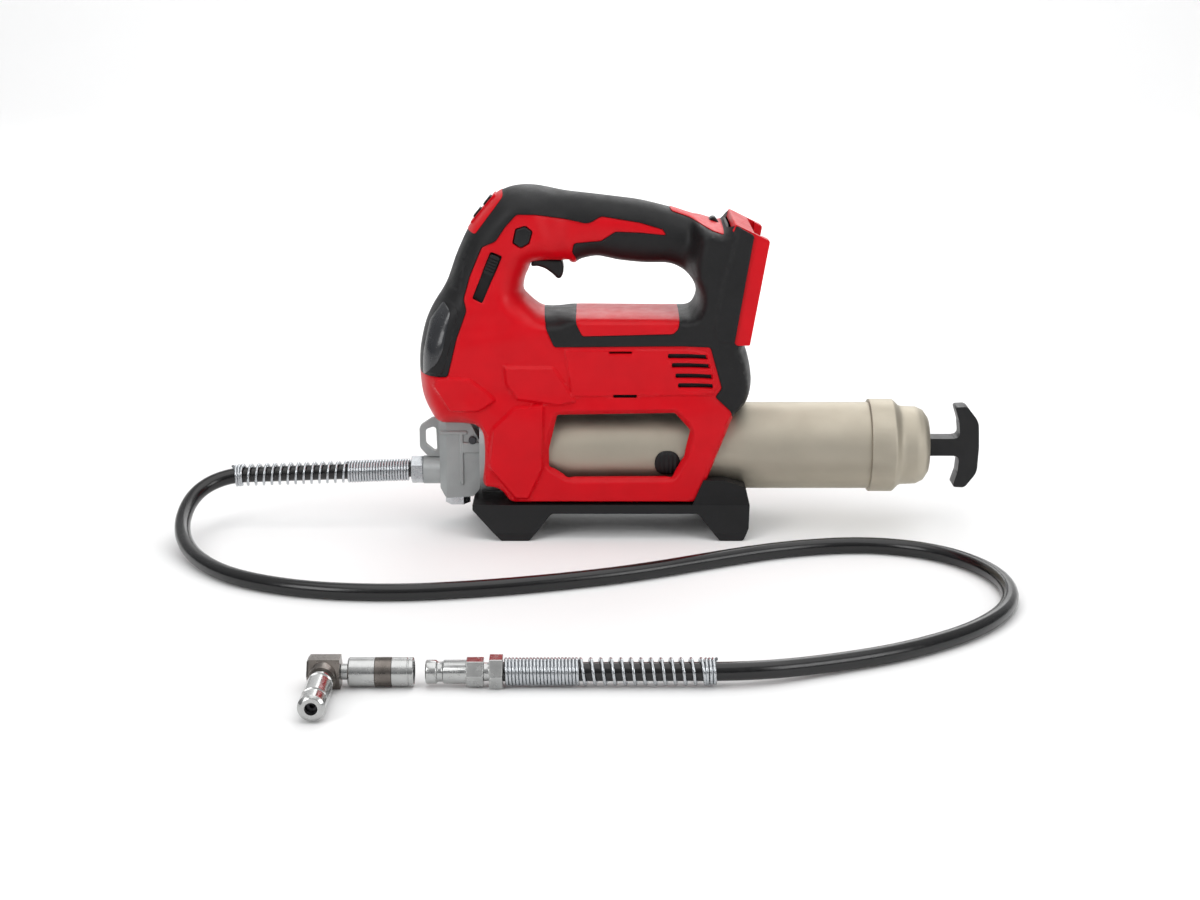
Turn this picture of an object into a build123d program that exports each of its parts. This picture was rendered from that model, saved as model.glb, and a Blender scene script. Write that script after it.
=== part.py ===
from build123d import *

import math
import os

# Battery grease gun: a clamshell power tool on a stand, a screw-in grease barrel and a whip hose
# that ends in a quick coupler, with the right-angle nozzle that plugs onto it. Millimetres.
# +X runs from the pump head to the T-handle, +Z is up, and the housing halves meet at Y=0. The
# origin is on the floor, under the middle of the tool.

# ---------------------------------------------------------------- driving dimensions
WALL = 2.6            # housing wall
RUBBER = 1.1          # soft overmould
GAP = 0.3             # between pieces that only pass each other
FIT = 0.05            # radial clearance of a running fit

BARREL_Z = 53.0       # height of the barrel's axis
BARREL_R = 28.2       # outside; it holds a cartridge 53.5 across and 235 long
BORE_R = 27.0
BARREL_FRONT = -135.5
TUBE_REAR = 126.0
CAP_REAR = 149.5
ROD_R = 4.0

GEAR_Z = 112.0        # height of the motor's and the gears' axis
MODULE = 0.9
SUN_TEETH = 12
PLANET_TEETH = 18
RING_TEETH = SUN_TEETH + 2 * PLANET_TEETH
CARRY_R = MODULE * (SUN_TEETH + PLANET_TEETH) / 2
PLANETS = 3
SHAFT_R = 2.5
CRANK_THROW = 8.0

PLUNGER_X = -158.0
PLUNGER_R = 4.5
OUTLET_Z = 36.5       # height of the hose outlet

STAND_HALF = 42.0     # half the width over the feet
HOSE_R = 5.0
GUARD_R = 7.5         # outside of the coiled spring guards
GUARD_WIRE = 0.9
FITTING_Y = -308.0    # the hose's far end lies this far out in front of the tool
FITTING_Z = 8.05

# ---------------------------------------------------------------- outlines, as (x, z, corner radius)
NOSE_LOW = [(-149, 70, 3), (-171, 70, 5), (-181.5, 96, 14), (-180.8, 124, 20), (-172, 148, 8),
            (-92, 152, 0), (-92, 84, 0), (-138, 84, 3)]
NOSE_TOP = [(-150, 128, 0), (-179.5, 128, 0), (-170, 150, 30), (-148, 198, 20), (-130, 219.5, 14),
            (-112, 224, 16), (-92, 218, 0), (-92, 128, 0)]
HANDLE = [(-125, 222, 4), (-104, 223.8, 16), (-86, 218.5, 20), (-30, 212, 40), (12, 198, 10),
          (16, 160, 0), (-4, 160, 0), (-20, 173, 14), (-52, 174.5, 30), (-66, 178.5, 10),
          (-82, 171, 3), (-90, 180, 6), (-125, 180, 0)]
REAR = [(-8, 205, 8), (12, 198.5, 6), (20, 202.5, 0), (31, 196, 0), (19.5, 127, 0), (33, 104, 10),
        (30, 86, 8), (16, 80, 6), (8, 84, 0), (-10, 125, 0), (-14, 144, 8), (-1, 150, 10),
        (-3, 168, 10), (-14, 180, 6)]
MOTOR = [(-120, 84, 0), (-120, 146, 6), (-99, 144.4, 0), (-8, 144.4, 6), (4, 126, 0), (16, 84, 0)]
CAGE = [(-138, 90, 0), (-141, 48, 4), (-142, 31, 2), (-130, 31, 2), (-124, 22, 2), (-6, 22, 4),
        (19.5, 84, 3), (14, 90, 0)]
ZONES = [(NOSE_LOW, 26, 6), (NOSE_TOP, 21, 6), (HANDLE, 12.5, 5), (REAR, 32, 6), (MOTOR, 26, 6),
         (CAGE, 29, 6)]                            # outline, half width of the flat side, bevel

HAND_HOLE = [(-113.5, 165, 4), (-109, 177, 4), (-99, 179, 6), (-88, 177.5, 5), (-81, 172, 2),
             (-66, 178.5, 8), (-52, 174.5, 24), (-20, 173.6, 10), (-2.8, 168, 14), (-3, 144.4, 8),
             (-99, 144.4, 3), (-114.5, 153, 10)]
WINDOW = [(-92, 81, 5), (-17, 81, 5), (-7, 70, 4), (-18.5, 39.5, 4), (-85, 39.5, 4), (-97.3, 47, 4),
          (-97.3, 58, 4)]
GRIP = [(-161.3, 105, 2), (-149, 147, 3), (-151, 154.5, 3), (-139, 187, 3), (-130, 190.7, 3),
        (-117, 207.7, 3), (-105, 207.4, 3), (-72, 201, 3), (-64, 205.3, 2), (-24.5, 197, 1),
        (-22.5, 193, 0.6), (-55, 195.4, 2), (-64, 189.3, 2), (-81, 187.9, 1.5), (-82.3, 181.7, 1.5),
        (-77.5, 172.5, 0), (-60, 165, 0), (2, 165, 0), (2, 150, 6), (-14, 142, 0), (-14, 135.5, 2),
        (-19, 132.7, 2), (-75, 131.5, 2), (-79, 138, 2), (-79.5, 150, 0), (-101, 150, 0),
        (-98.5, 136, 2), (-93.5, 124.5, 2), (4.5, 125, 2), (12.5, 98.5, 2), (8.5, 92.5, 1.5),
        (18.5, 83.5, 0), (45, 70, 0), (45, 215, 0), (10, 195, 0), (-20, 211, 0), (-30, 240, 0),
        (-200, 240, 0), (-200, 105, 0)]
BAY_SIDE = [(17, 126.5, 0), (29.5, 126.5, 1), (41, 192.5, 1.5), (19.5, 203, 1), (17.5, 198.8, 0.5),
            (28.5, 193, 0)]
STAND_SIDE = [(-146.5, 22, 0), (-146.5, 19, 2), (-128, 0, 2), (-110, 0, 2), (-96, 16.7, 4),
              (-1.6, 16.7, 4), (12, 0, 2), (27, 0, 2), (30.5, 8, 3), (31.3, 22, 3), (28.6, 33.5, 3),
              (15, 38.3, 2), (1.4, 38.3, 0), (-5.4, 22, 0)]
HEAD_SIDE = [(-169.5, 76, 0), (-148.5, 76, 0), (-148.5, 71, 2), (-140, 54, 3), (-143, 27, 3),
             (-147, 22.3, 2), (-165, 21, 3), (-168.8, 26.5, 2)]
EYE_SIDE = [(-166, 71.5, 0), (-174, 71.5, 4), (-182.3, 66, 4), (-182.3, 52, 5), (-177, 46, 3),
            (-166, 46, 0)]
EYE_HOLE = [(-171.5, 66.5, 2), (-178.5, 64, 3), (-178.5, 54, 3), (-173, 49.5, 2), (-171, 50, 1)]
TRIGGER_SIDE = [(-111.5, 181, 2), (-109.5, 172.5, 2.5), (-104.7, 172.6, 4), (-98, 170, 4),
                (-92.5, 165, 3), (-88.5, 165, 3), (-84.4, 173.5, 3), (-84.4, 179, 2), (-88, 187, 2),
                (-95, 191, 3), (-103, 190, 3)]
TRIGGER_PIVOT = (-99.0, 186.0)
BUTTON_AT = (-113.2, 193.5)
SLOT_MIDDLE = (-135.7, 169.0)
SLOT_RISE = math.atan2(28, 12)
PANEL_MIDDLE = (-139.0, 208.75)
PANEL_RISE = math.atan2(21.5, 18)
BAY_RISE = math.atan2(69, 11.5)

# The hose's middle, as the points at which its straight runs meet: out of the head and round to
# the floor, a long wave along it, and back into the far end's guard.
HOSE_ROUTE = [
    (-187, 0, OUTLET_Z), (-307, -1, 32.6), (-322.5, -9.5, 28), (-330.5, -25, 21), (-331, -51, 12.5),
    (-322, -81, 6.8), (-303, -114, 5.1), (-277, -141, 5.1), (-235, -161, 5.1), (-184, -166, 5.1),
    (-136, -158, 5.1), (-88, -144, 5.1), (-42, -126, 5.1), (4, -100, 5.1), (50, -76, 5.1),
    (103, -65, 5.1), (148, -83, 5.1), (175, -127, 5.1), (175, -181, 5.1), (148, -229, 5.1),
    (102, -267, 5.1), (54, -290, 5.6), (13, -307.6, FITTING_Z), (-115, FITTING_Y, FITTING_Z),
]
GUARD_HEAD_END = (-305.0, -0.98, 32.66)


# ---------------------------------------------------------------- helpers
def outline(points, grow=0.0):
    """A side-view face from (x, z, corner radius) points, its edge moved out by grow."""
    with BuildSketch(Plane.XZ) as face:
        with BuildLine():
            FilletPolyline(*[(x, z) for x, z, _ in points], radius=[r for _, _, r in points], close=True)
        make_face()
        if grow:
            offset(amount=grow, kind=Kind.INTERSECTION)
    return face.sketch


def across(x, z, y=0.0):
    """A plane that faces +X, with its own x along Y and its own y along Z."""
    return Plane(origin=(x, y, z), x_dir=(0, 1, 0), z_dir=(1, 0, 0))


def facing(x, z, y=0.0):
    """A plane that faces the near side, -Y, with its own x along X and its own y along Z."""
    return Plane(origin=(x, y, z), x_dir=(1, 0, 0), z_dir=(0, -1, 0))


def profile(points, z, y=0.0):
    """A face from (x, radius) points beside the line along X at (y, z), to be turned about it."""
    with BuildSketch(Plane(origin=(0, y, z), x_dir=(1, 0, 0), z_dir=(0, -1, 0))) as face:
        with BuildLine():
            Polyline(*points, close=True)
        make_face()
    return face.sketch


def line_x(z, y=0.0):
    """The axis along +X through (y, z)."""
    return Axis((0, y, z), (1, 0, 0))


def block(x0, x1, half_y, z0, z1, y=0.0):
    """A box between two X and two Z planes, half_y to each side of y."""
    with BuildPart(Plane(origin=((x0 + x1) / 2, y, (z0 + z1) / 2))) as made:
        Box(x1 - x0, 2 * half_y, z1 - z0)
    return made.part


def zone(points, flat_half, bevel, inset):
    """One stretch of the housing: a side-view outline, flat to flat_half and bevelled beyond."""
    with BuildPart() as made:
        extrude(outline(points, -inset), amount=flat_half, both=True)
        for end in (made.faces().sort_by(Axis.Y)[0], made.faces().sort_by(Axis.Y)[-1]):
            extrude(end, amount=bevel - inset, taper=40)
    return made.part


def housing_body(inset):
    """The housing as a solid inset all over, with the hand hole and the windows through it."""
    with BuildPart() as made:
        for points, flat_half, bevel in ZONES:
            add(zone(points, flat_half, bevel, inset))
        extrude(outline(HAND_HOLE, inset), amount=60, both=True, mode=Mode.SUBTRACT)
        extrude(outline(WINDOW, inset), amount=60, both=True, mode=Mode.SUBTRACT)
    return made.part


def gear_face(teeth, plane, turned=0.0, inner=False):
    """A spur gear's outline in the given plane; a tooth stands at the plane's own x axis.

    For an inner gear the outline is the hole, so its teeth are the gaps of an outer gear.
    """
    pitch = MODULE * teeth / 2
    tip = pitch + MODULE * (1.15 if inner else 0.9)
    root = pitch - MODULE * (0.85 if inner else 1.2)
    slack = 2.2 if inner else -2.2                 # degrees of tooth share given to backlash
    share = 360 / teeth
    at_root = share * (0.74 if inner else 0.66) / 2 + slack / teeth
    at_pitch = share * 0.50 / 2 + slack / teeth
    at_tip = share * (0.30 if inner else 0.24) / 2
    corners = []
    for tooth in range(teeth):
        middle = turned + tooth * share
        for angle, radius in ((-at_root, root), (-at_pitch, pitch), (-at_tip, tip),
                              (at_tip, tip), (at_pitch, pitch), (at_root, root)):
            turn = math.radians(middle + angle)
            corners.append((radius * math.cos(turn), radius * math.sin(turn)))
    with BuildSketch(plane) as face:
        with BuildLine():
            Polyline(*corners, close=True)
        make_face()
    return face.sketch


def planet_places(x):
    """For each planet: its plane, and the turn that meshes it with the sun and the ring."""
    for index in range(PLANETS):
        around = 360 * index / PLANETS
        turned = around + 180 - 180 / PLANET_TEETH + SUN_TEETH / PLANET_TEETH * around
        y = CARRY_R * math.cos(math.radians(around))
        z = CARRY_R * math.sin(math.radians(around))
        yield across(x, GEAR_Z + z, y), turned


SLOT = Plane(origin=(SLOT_MIDDLE[0], 0, SLOT_MIDDLE[1]), z_dir=(0, -1, 0),
             x_dir=(math.cos(SLOT_RISE), 0, math.sin(SLOT_RISE)))
PANEL = Plane(origin=(PANEL_MIDDLE[0], 0, PANEL_MIDDLE[1]), x_dir=(0, -1, 0),
              z_dir=(-math.sin(PANEL_RISE), 0, math.cos(PANEL_RISE)))
BAY = Plane(origin=(25.3, 0, 161.5), x_dir=(0, 1, 0),
            z_dir=(math.sin(BAY_RISE), 0, -math.cos(BAY_RISE)))
SCREWS = [(-171, 101, 32), (-153, 170, 27), (-122, 212, 27), (-24, 200, 17.5), (9, 176, 38),
          (8, 138, 38), (19, 95, 38)]              # x, z and the housing's half width there

os.makedirs("parts", exist_ok=True)

# ---------------------------------------------------------------- housing halves and overmould
with BuildPart() as openings:
    with BuildSketch(across(-144, BARREL_Z)):
        Circle(BARREL_R + 0.5)
    extrude(amount=200)                                            # the barrel's way in
    with BuildSketch(across(-145, BARREL_Z)):
        Circle(30.5)
    extrude(amount=19)                                             # the head's barrel collar
    add(block(-171, -133, 15.6, 15, 90))                           # the pump head
    add(block(-114.5, -81, 7.2, 160, 184))                         # the trigger
    extrude(outline(BAY_SIDE), amount=50, both=True)               # the battery bay
    with BuildSketch(facing(*BUTTON_AT)):
        RegularPolygon(6.3, 6)
    extrude(amount=40, both=True)                                  # the lock button
    with BuildSketch(SLOT.offset(18)):
        SlotOverall(31, 7.6)
    extrude(amount=14)                                             # the speed selector
    with BuildSketch(PANEL.offset(-3)):
        RectangleRounded(16.4, 24.4, 2.2)
    extrude(amount=20)                                             # the control panel
    for step in range(4):                                          # the motor's vents
        with BuildSketch(facing(-8.5 + 1.7 * step, 118.6 - 6.3 * step)):
            SlotOverall(24, 3.2)
        extrude(amount=45, both=True)
    for x, z in ((-52, 121), (-49, 92.8)):
        with BuildSketch(facing(x, z)):
            SlotOverall(14.5, 2.6)
        extrude(amount=45, both=True)

solid_body = housing_body(0)

with BuildPart() as grip_region:
    extrude(outline(GRIP), amount=60, both=True)

with BuildPart() as overmould:
    add(solid_body)
    add(housing_body(RUBBER), mode=Mode.SUBTRACT)
    add(grip_region.part, mode=Mode.INTERSECT)
    add(openings.part, mode=Mode.SUBTRACT)

with BuildPart() as shell:
    add(solid_body)
    add(housing_body(WALL), mode=Mode.SUBTRACT)
    for x, z, half in SCREWS:
        with BuildSketch(facing(x, z)):
            Circle(3.6)
        extrude(amount=half - 2, both=True)
    add(overmould.part, mode=Mode.SUBTRACT)
    add(openings.part, mode=Mode.SUBTRACT)

with BuildPart() as screw_holes:
    for x, z, half in SCREWS:
        with BuildSketch(Plane(origin=(x, -12, z), z_dir=(0, 1, 0))):
            Circle(1.65)
        extrude(amount=60)
        with BuildSketch(Plane(origin=(x, half - 5, z), z_dir=(0, 1, 0))):
            Circle(3.2)
        extrude(amount=20)

with BuildPart() as housing_left:
    add(shell.part)
    split(bisect_by=Plane.XZ, keep=Keep.TOP)
    add(screw_holes.part, mode=Mode.SUBTRACT)
housing_left.part.label = "housing_left"
export_step(housing_left.part, "parts/housing_left.step")

with BuildPart() as housing_right:
    add(shell.part)
    split(bisect_by=Plane.XZ, keep=Keep.BOTTOM)
    add(screw_holes.part, mode=Mode.SUBTRACT)
housing_right.part.label = "housing_right"
export_step(housing_right.part, "parts/housing_right.step")

with BuildPart() as grip_overmold_left:
    add(overmould.part)
    split(bisect_by=Plane.XZ, keep=Keep.TOP)
grip_overmold_left.part.label = "grip_overmold_left"
export_step(grip_overmold_left.part, "parts/grip_overmold_left.step")

with BuildPart() as grip_overmold_right:
    add(overmould.part)
    add(screw_holes.part, mode=Mode.SUBTRACT)
    split(bisect_by=Plane.XZ, keep=Keep.BOTTOM)
grip_overmold_right.part.label = "grip_overmold_right"
export_step(grip_overmold_right.part, "parts/grip_overmold_right.step")

with BuildPart() as housing_screws:
    for x, z, half in SCREWS:
        with BuildSketch(Plane(origin=(x, -11.5, z), z_dir=(0, 1, 0))):
            Circle(1.6)
        extrude(amount=half + 6.5)
        with BuildSketch(Plane(origin=(x, half - 5, z), z_dir=(0, 1, 0))):
            Circle(3.1)
        extrude(amount=2.6)
        with BuildSketch(Plane(origin=(x, half - 4, z), z_dir=(0, 1, 0))):
            RegularPolygon(1.4, 6)
        extrude(amount=3, mode=Mode.SUBTRACT)
housing_screws.part.label = "housing_screws"
export_step(housing_screws.part, "parts/housing_screws.step")

# ---------------------------------------------------------------- stand and battery bay
with BuildPart() as base_stand:
    extrude(outline(STAND_SIDE), amount=STAND_HALF, both=True)
    with BuildSketch(across(-160, 0)):
        with BuildLine():
            Polyline((-36, 60), (-36, 22), (-STAND_HALF, 5), (-STAND_HALF, 0), (STAND_HALF, 0),
                     (STAND_HALF, 5), (36, 22), (36, 60), close=True)
        make_face()
    extrude(amount=200, mode=Mode.INTERSECT)
    with BuildSketch(across(-160, BARREL_Z)):
        Circle(BARREL_R + 0.5)
    extrude(amount=200, mode=Mode.SUBTRACT)
    with BuildSketch(Plane.XY.offset(-1)):
        with Locations((-118.5, 0), (19.5, 0)):
            RectangleRounded(9, 50, 2)
    extrude(amount=12, mode=Mode.SUBTRACT)
base_stand.part.label = "base_stand"
export_step(base_stand.part, "parts/base_stand.step")

with BuildPart() as battery_bay:
    extrude(outline(BAY_SIDE), amount=38, both=True)
    with BuildSketch(BAY.offset(0)):
        Rectangle(67, 110)
    extrude(amount=5.2, mode=Mode.SUBTRACT)
    with BuildSketch(BAY.offset(5)):
        Rectangle(58, 110)
    extrude(amount=25, mode=Mode.SUBTRACT)
battery_bay.part.label = "battery_bay"
export_step(battery_bay.part, "parts/battery_bay.step")

TERMINALS = (-12.0, -4.0, 4.0, 12.0)
with BuildPart() as terminal_block:
    with BuildSketch(BAY.offset(0)):
        RectangleRounded(38, 44, 3)
    extrude(amount=3)
    with BuildSketch(BAY.offset(3)):
        with Locations((0, -14)):
            Rectangle(32, 6)
    extrude(amount=8)
terminal_block.part.label = "terminal_block"
export_step(terminal_block.part, "parts/terminal_block.step")

with BuildPart() as battery_terminals:
    with BuildSketch(BAY.offset(3)):
        with Locations(*[(y, -4) for y in TERMINALS]):
            Rectangle(1.0, 13.5)
    extrude(amount=6)
battery_terminals.part.label = "battery_terminals"
export_step(battery_terminals.part, "parts/battery_terminals.step")

# ---------------------------------------------------------------- controls
PANEL_BUTTONS = {"upper": 5.4, "lower": -4.6}      # how far up the panel each one stands
PANEL_OUT = Axis((0, 0, 0), PANEL.z_dir)
with BuildPart() as control_panel:
    with BuildSketch(PANEL.offset(-2.7)):
        RectangleRounded(16, 24, 2)
    extrude(amount=3.1)
    with BuildSketch(PANEL.offset(-1.4)):
        with Locations(*[(0, up) for up in PANEL_BUTTONS.values()]):
            RectangleRounded(10.6, 7.8, 1.6)
    extrude(amount=5, mode=Mode.SUBTRACT)
control_panel.part.label = "control_panel"
export_step(control_panel.part, "parts/control_panel.step")

with BuildPart() as panel_button_upper:
    with BuildSketch(PANEL.offset(-0.35)):
        with Locations((0, PANEL_BUTTONS["upper"])):
            RectangleRounded(10, 7.2, 1.3)
    extrude(amount=1.9)
    fillet(panel_button_upper.faces().sort_by(PANEL_OUT)[-1].edges(), 0.5)
panel_button_upper.part.label = "panel_button_upper"
export_step(panel_button_upper.part, "parts/panel_button_upper.step")

with BuildPart() as panel_button_lower:
    with BuildSketch(PANEL.offset(-0.35)):
        with Locations((0, PANEL_BUTTONS["lower"])):
            RectangleRounded(10, 7.2, 1.3)
    extrude(amount=1.9)
    fillet(panel_button_lower.faces().sort_by(PANEL_OUT)[-1].edges(), 0.5)
panel_button_lower.part.label = "panel_button_lower"
export_step(panel_button_lower.part, "parts/panel_button_lower.step")

with BuildPart() as trigger:
    extrude(outline(TRIGGER_SIDE), amount=6.5, both=True)
    with BuildSketch(facing(*TRIGGER_PIVOT)):
        Circle(1.5 + FIT)
    extrude(amount=10, both=True, mode=Mode.SUBTRACT)
trigger.part.label = "trigger"
export_step(trigger.part, "parts/trigger.step")

with BuildPart() as trigger_pin:
    with BuildSketch(facing(*TRIGGER_PIVOT)):
        Circle(1.5)
    extrude(amount=11, both=True)
trigger_pin.part.label = "trigger_pin"
export_step(trigger_pin.part, "parts/trigger_pin.step")

with BuildPart() as trigger_spring:
    with BuildLine():
        spring_line = Helix(1.7, 12.8, 2.2, center=(-91, 0, 190.6))
    with BuildSketch(Plane(origin=spring_line @ 0, z_dir=spring_line % 0)):
        Circle(0.35)
    sweep()
trigger_spring.part.label = "trigger_spring"
export_step(trigger_spring.part, "parts/trigger_spring.step")

with BuildPart() as switch_module:
    add(block(-79, -50, 9, 187, 205))
    fillet(switch_module.edges().filter_by(Axis.Y), 2)
    add(block(-72, -57, 5, 181.5, 187))
switch_module.part.label = "switch_module"
export_step(switch_module.part, "parts/switch_module.step")

with BuildPart() as lock_off_button:
    with BuildSketch(facing(*BUTTON_AT, y=26.6)):
        RegularPolygon(5.9, 6)
    extrude(amount=56.2)
    fillet(lock_off_button.faces().sort_by(Axis.Y)[0].edges(), 0.8)
lock_off_button.part.label = "lock_off_button"
export_step(lock_off_button.part, "parts/lock_off_button.step")

with BuildPart() as speed_selector:
    with BuildSketch(SLOT.offset(22)):
        with Locations((7.5, 0)):
            RectangleRounded(13, 6.4, 1.5)
    extrude(amount=6.2)
    with BuildSketch(SLOT.offset(27.4)):
        with Locations(*[(3.5 + 2 * rib, 0) for rib in range(5)]):
            Rectangle(0.8, 8)
    extrude(amount=2, mode=Mode.SUBTRACT)
speed_selector.part.label = "speed_selector"
export_step(speed_selector.part, "parts/speed_selector.step")

# ---------------------------------------------------------------- motor
with BuildPart() as motor_can:
    revolve(profile([(-69, 7), (-69, 9), (-66, 9), (-66, 21.3), (-12, 21.3), (-12, 7), (-15, 7),
                     (-15, 19.8), (-64, 19.8), (-64, 7)], GEAR_Z), axis=line_x(GEAR_Z))
motor_can.part.label = "motor_can"
export_step(motor_can.part, "parts/motor_can.step")

with BuildPart() as motor_magnets:
    with BuildSketch(across(-58, GEAR_Z)):
        Circle(19.75)
        Circle(14.4, mode=Mode.SUBTRACT)
        Rectangle(60, 6, mode=Mode.SUBTRACT)
    extrude(amount=30)
motor_magnets.part.label = "motor_magnets"
export_step(motor_magnets.part, "parts/motor_magnets.step")

with BuildPart() as motor_bearing_front:
    revolve(profile([(-69, SHAFT_R + FIT), (-69, 7), (-64, 7), (-64, SHAFT_R + FIT)], GEAR_Z),
            axis=line_x(GEAR_Z))
motor_bearing_front.part.label = "motor_bearing_front"
export_step(motor_bearing_front.part, "parts/motor_bearing_front.step")

with BuildPart() as motor_bearing_rear:
    revolve(profile([(-16, SHAFT_R + FIT), (-16, 7), (-11, 7), (-11, SHAFT_R + FIT)], GEAR_Z),
            axis=line_x(GEAR_Z))
motor_bearing_rear.part.label = "motor_bearing_rear"
export_step(motor_bearing_rear.part, "parts/motor_bearing_rear.step")

with BuildPart() as motor_armature:
    extrude(gear_face(SUN_TEETH, across(-85.5, GEAR_Z)), amount=8)
    with BuildSketch(across(-85.5, GEAR_Z)):
        Circle(SHAFT_R)
    extrude(amount=85)
    with BuildSketch(across(-56, GEAR_Z)):
        Circle(13.6)
        with PolarLocations(12.4, 12):
            Rectangle(3.2, 1.2, mode=Mode.SUBTRACT)
    extrude(amount=26)
    revolve(profile([(-60, SHAFT_R), (-60, 9), (-57, 11.6), (-29, 11.6), (-27, 9), (-27, 6.5), (-18.5, 6.5),
                     (-18.5, SHAFT_R)], GEAR_Z), axis=line_x(GEAR_Z))
motor_armature.part.label = "motor_armature"
export_step(motor_armature.part, "parts/motor_armature.step")

with BuildPart() as brush_card:
    with BuildSketch(across(-25, GEAR_Z)):
        Circle(19.7)
        Circle(8.5, mode=Mode.SUBTRACT)
    extrude(amount=1.6)
    with BuildSketch(across(-25, GEAR_Z)):
        with Locations((0, 10.6), (0, -10.6)):
            Rectangle(5, 7.8)
    extrude(amount=6)
brush_card.part.label = "brush_card"
export_step(brush_card.part, "parts/brush_card.step")

with BuildPart() as motor_fan:
    revolve(profile([(-7, SHAFT_R), (-7, 18.5), (-5.6, 18.5), (-5.6, 5), (-0.6, 5), (-0.6, SHAFT_R)],
                    GEAR_Z), axis=line_x(GEAR_Z))
    with BuildSketch(across(-6, GEAR_Z)):
        with PolarLocations(11.5, 11):
            Rectangle(13.6, 1.2, rotation=28)
    extrude(amount=5.2)
motor_fan.part.label = "motor_fan"
export_step(motor_fan.part, "parts/motor_fan.step")

# ---------------------------------------------------------------- gearbox
with BuildPart() as gear_case:
    revolve(profile([(-126, 15), (-126, 26.5), (-70, 26.5), (-70, 9.2), (-72.5, 9.2), (-72.5, 25),
                     (-115, 25), (-115, 15)], GEAR_Z), axis=line_x(GEAR_Z))
gear_case.part.label = "gear_case"
export_step(gear_case.part, "parts/gear_case.step")

with BuildPart() as ring_gear:
    with BuildSketch(across(-104, GEAR_Z)):
        Circle(25)
    extrude(amount=29)
    extrude(gear_face(RING_TEETH, across(-105, GEAR_Z), 180 / RING_TEETH, inner=True), amount=31,
            mode=Mode.SUBTRACT)
ring_gear.part.label = "ring_gear"
export_step(ring_gear.part, "parts/ring_gear.step")


def planet(x, index):
    """A planet wheel, x to x + 6 mm, bored to run on its carrier's pin."""
    plane, turned = list(planet_places(x))[index]
    with BuildPart() as made:
        extrude(gear_face(PLANET_TEETH, plane, turned), amount=6)
        with BuildSketch(plane):
            Circle(2.2 + FIT)
        extrude(amount=6, mode=Mode.SUBTRACT)
    return made.part


for index in range(PLANETS):
    for stage, x in ((1, -84.5), (2, -100.5)):
        with BuildPart() as planet_gear:
            add(planet(x, index))
        planet_gear.part.label = f"planet_{stage}{'abc'[index]}"
        export_step(planet_gear.part, f"parts/{planet_gear.part.label}.step")

with BuildPart() as carrier_1:
    with BuildSketch(across(-90, GEAR_Z)):
        Circle(17.5)
    extrude(amount=3.5)
    for plane, _ in planet_places(-88):
        with BuildSketch(plane):
            Circle(2.2)
        extrude(amount=9.5)
    extrude(gear_face(SUN_TEETH, across(-101.5, GEAR_Z)), amount=12)
carrier_1.part.label = "carrier_1"
export_step(carrier_1.part, "parts/carrier_1.step")

with BuildPart() as crank_shaft:
    with BuildSketch(across(-108, GEAR_Z)):
        Circle(17.5)
    extrude(amount=4)
    for plane, _ in planet_places(-105):
        with BuildSketch(plane):
            Circle(2.2)
        extrude(amount=10.5)
    with BuildSketch(across(-146, GEAR_Z)):
        Circle(13)
    extrude(amount=6)
    with BuildSketch(across(-141, GEAR_Z)):
        Circle(8 - FIT)
    extrude(amount=34)
    with BuildSketch(across(-154.6, GEAR_Z, CRANK_THROW)):
        Circle(3)
    extrude(amount=9)
crank_shaft.part.label = "crank_shaft"
export_step(crank_shaft.part, "parts/crank_shaft.step")

with BuildPart() as output_bearing:
    with BuildSketch(across(-125, GEAR_Z)):
        Circle(15)
        Circle(8, mode=Mode.SUBTRACT)
    extrude(amount=9)
output_bearing.part.label = "output_bearing"
export_step(output_bearing.part, "parts/output_bearing.step")

# ---------------------------------------------------------------- pump
with BuildPart() as yoke:
    with BuildSketch(across(-162, GEAR_Z)):
        RectangleRounded(34, 17, 4)
        SlotOverall(24, 6.4, mode=Mode.SUBTRACT)
    extrude(amount=7)
    with BuildSketch(Plane.XY.offset(GEAR_Z - 13)):
        with Locations((PLUNGER_X, 0)):
            Circle(6)
    extrude(amount=5.5)
yoke.part.label = "yoke"
export_step(yoke.part, "parts/yoke.step")

with BuildPart() as plunger:
    with BuildSketch(Plane.XY.offset(49)):
        with Locations((PLUNGER_X, 0)):
            Circle(PLUNGER_R)
    extrude(amount=GEAR_Z - 13 - 49)
    chamfer(plunger.edges().group_by(Axis.Z)[0], 0.5)
plunger.part.label = "plunger"
export_step(plunger.part, "parts/plunger.step")

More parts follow.
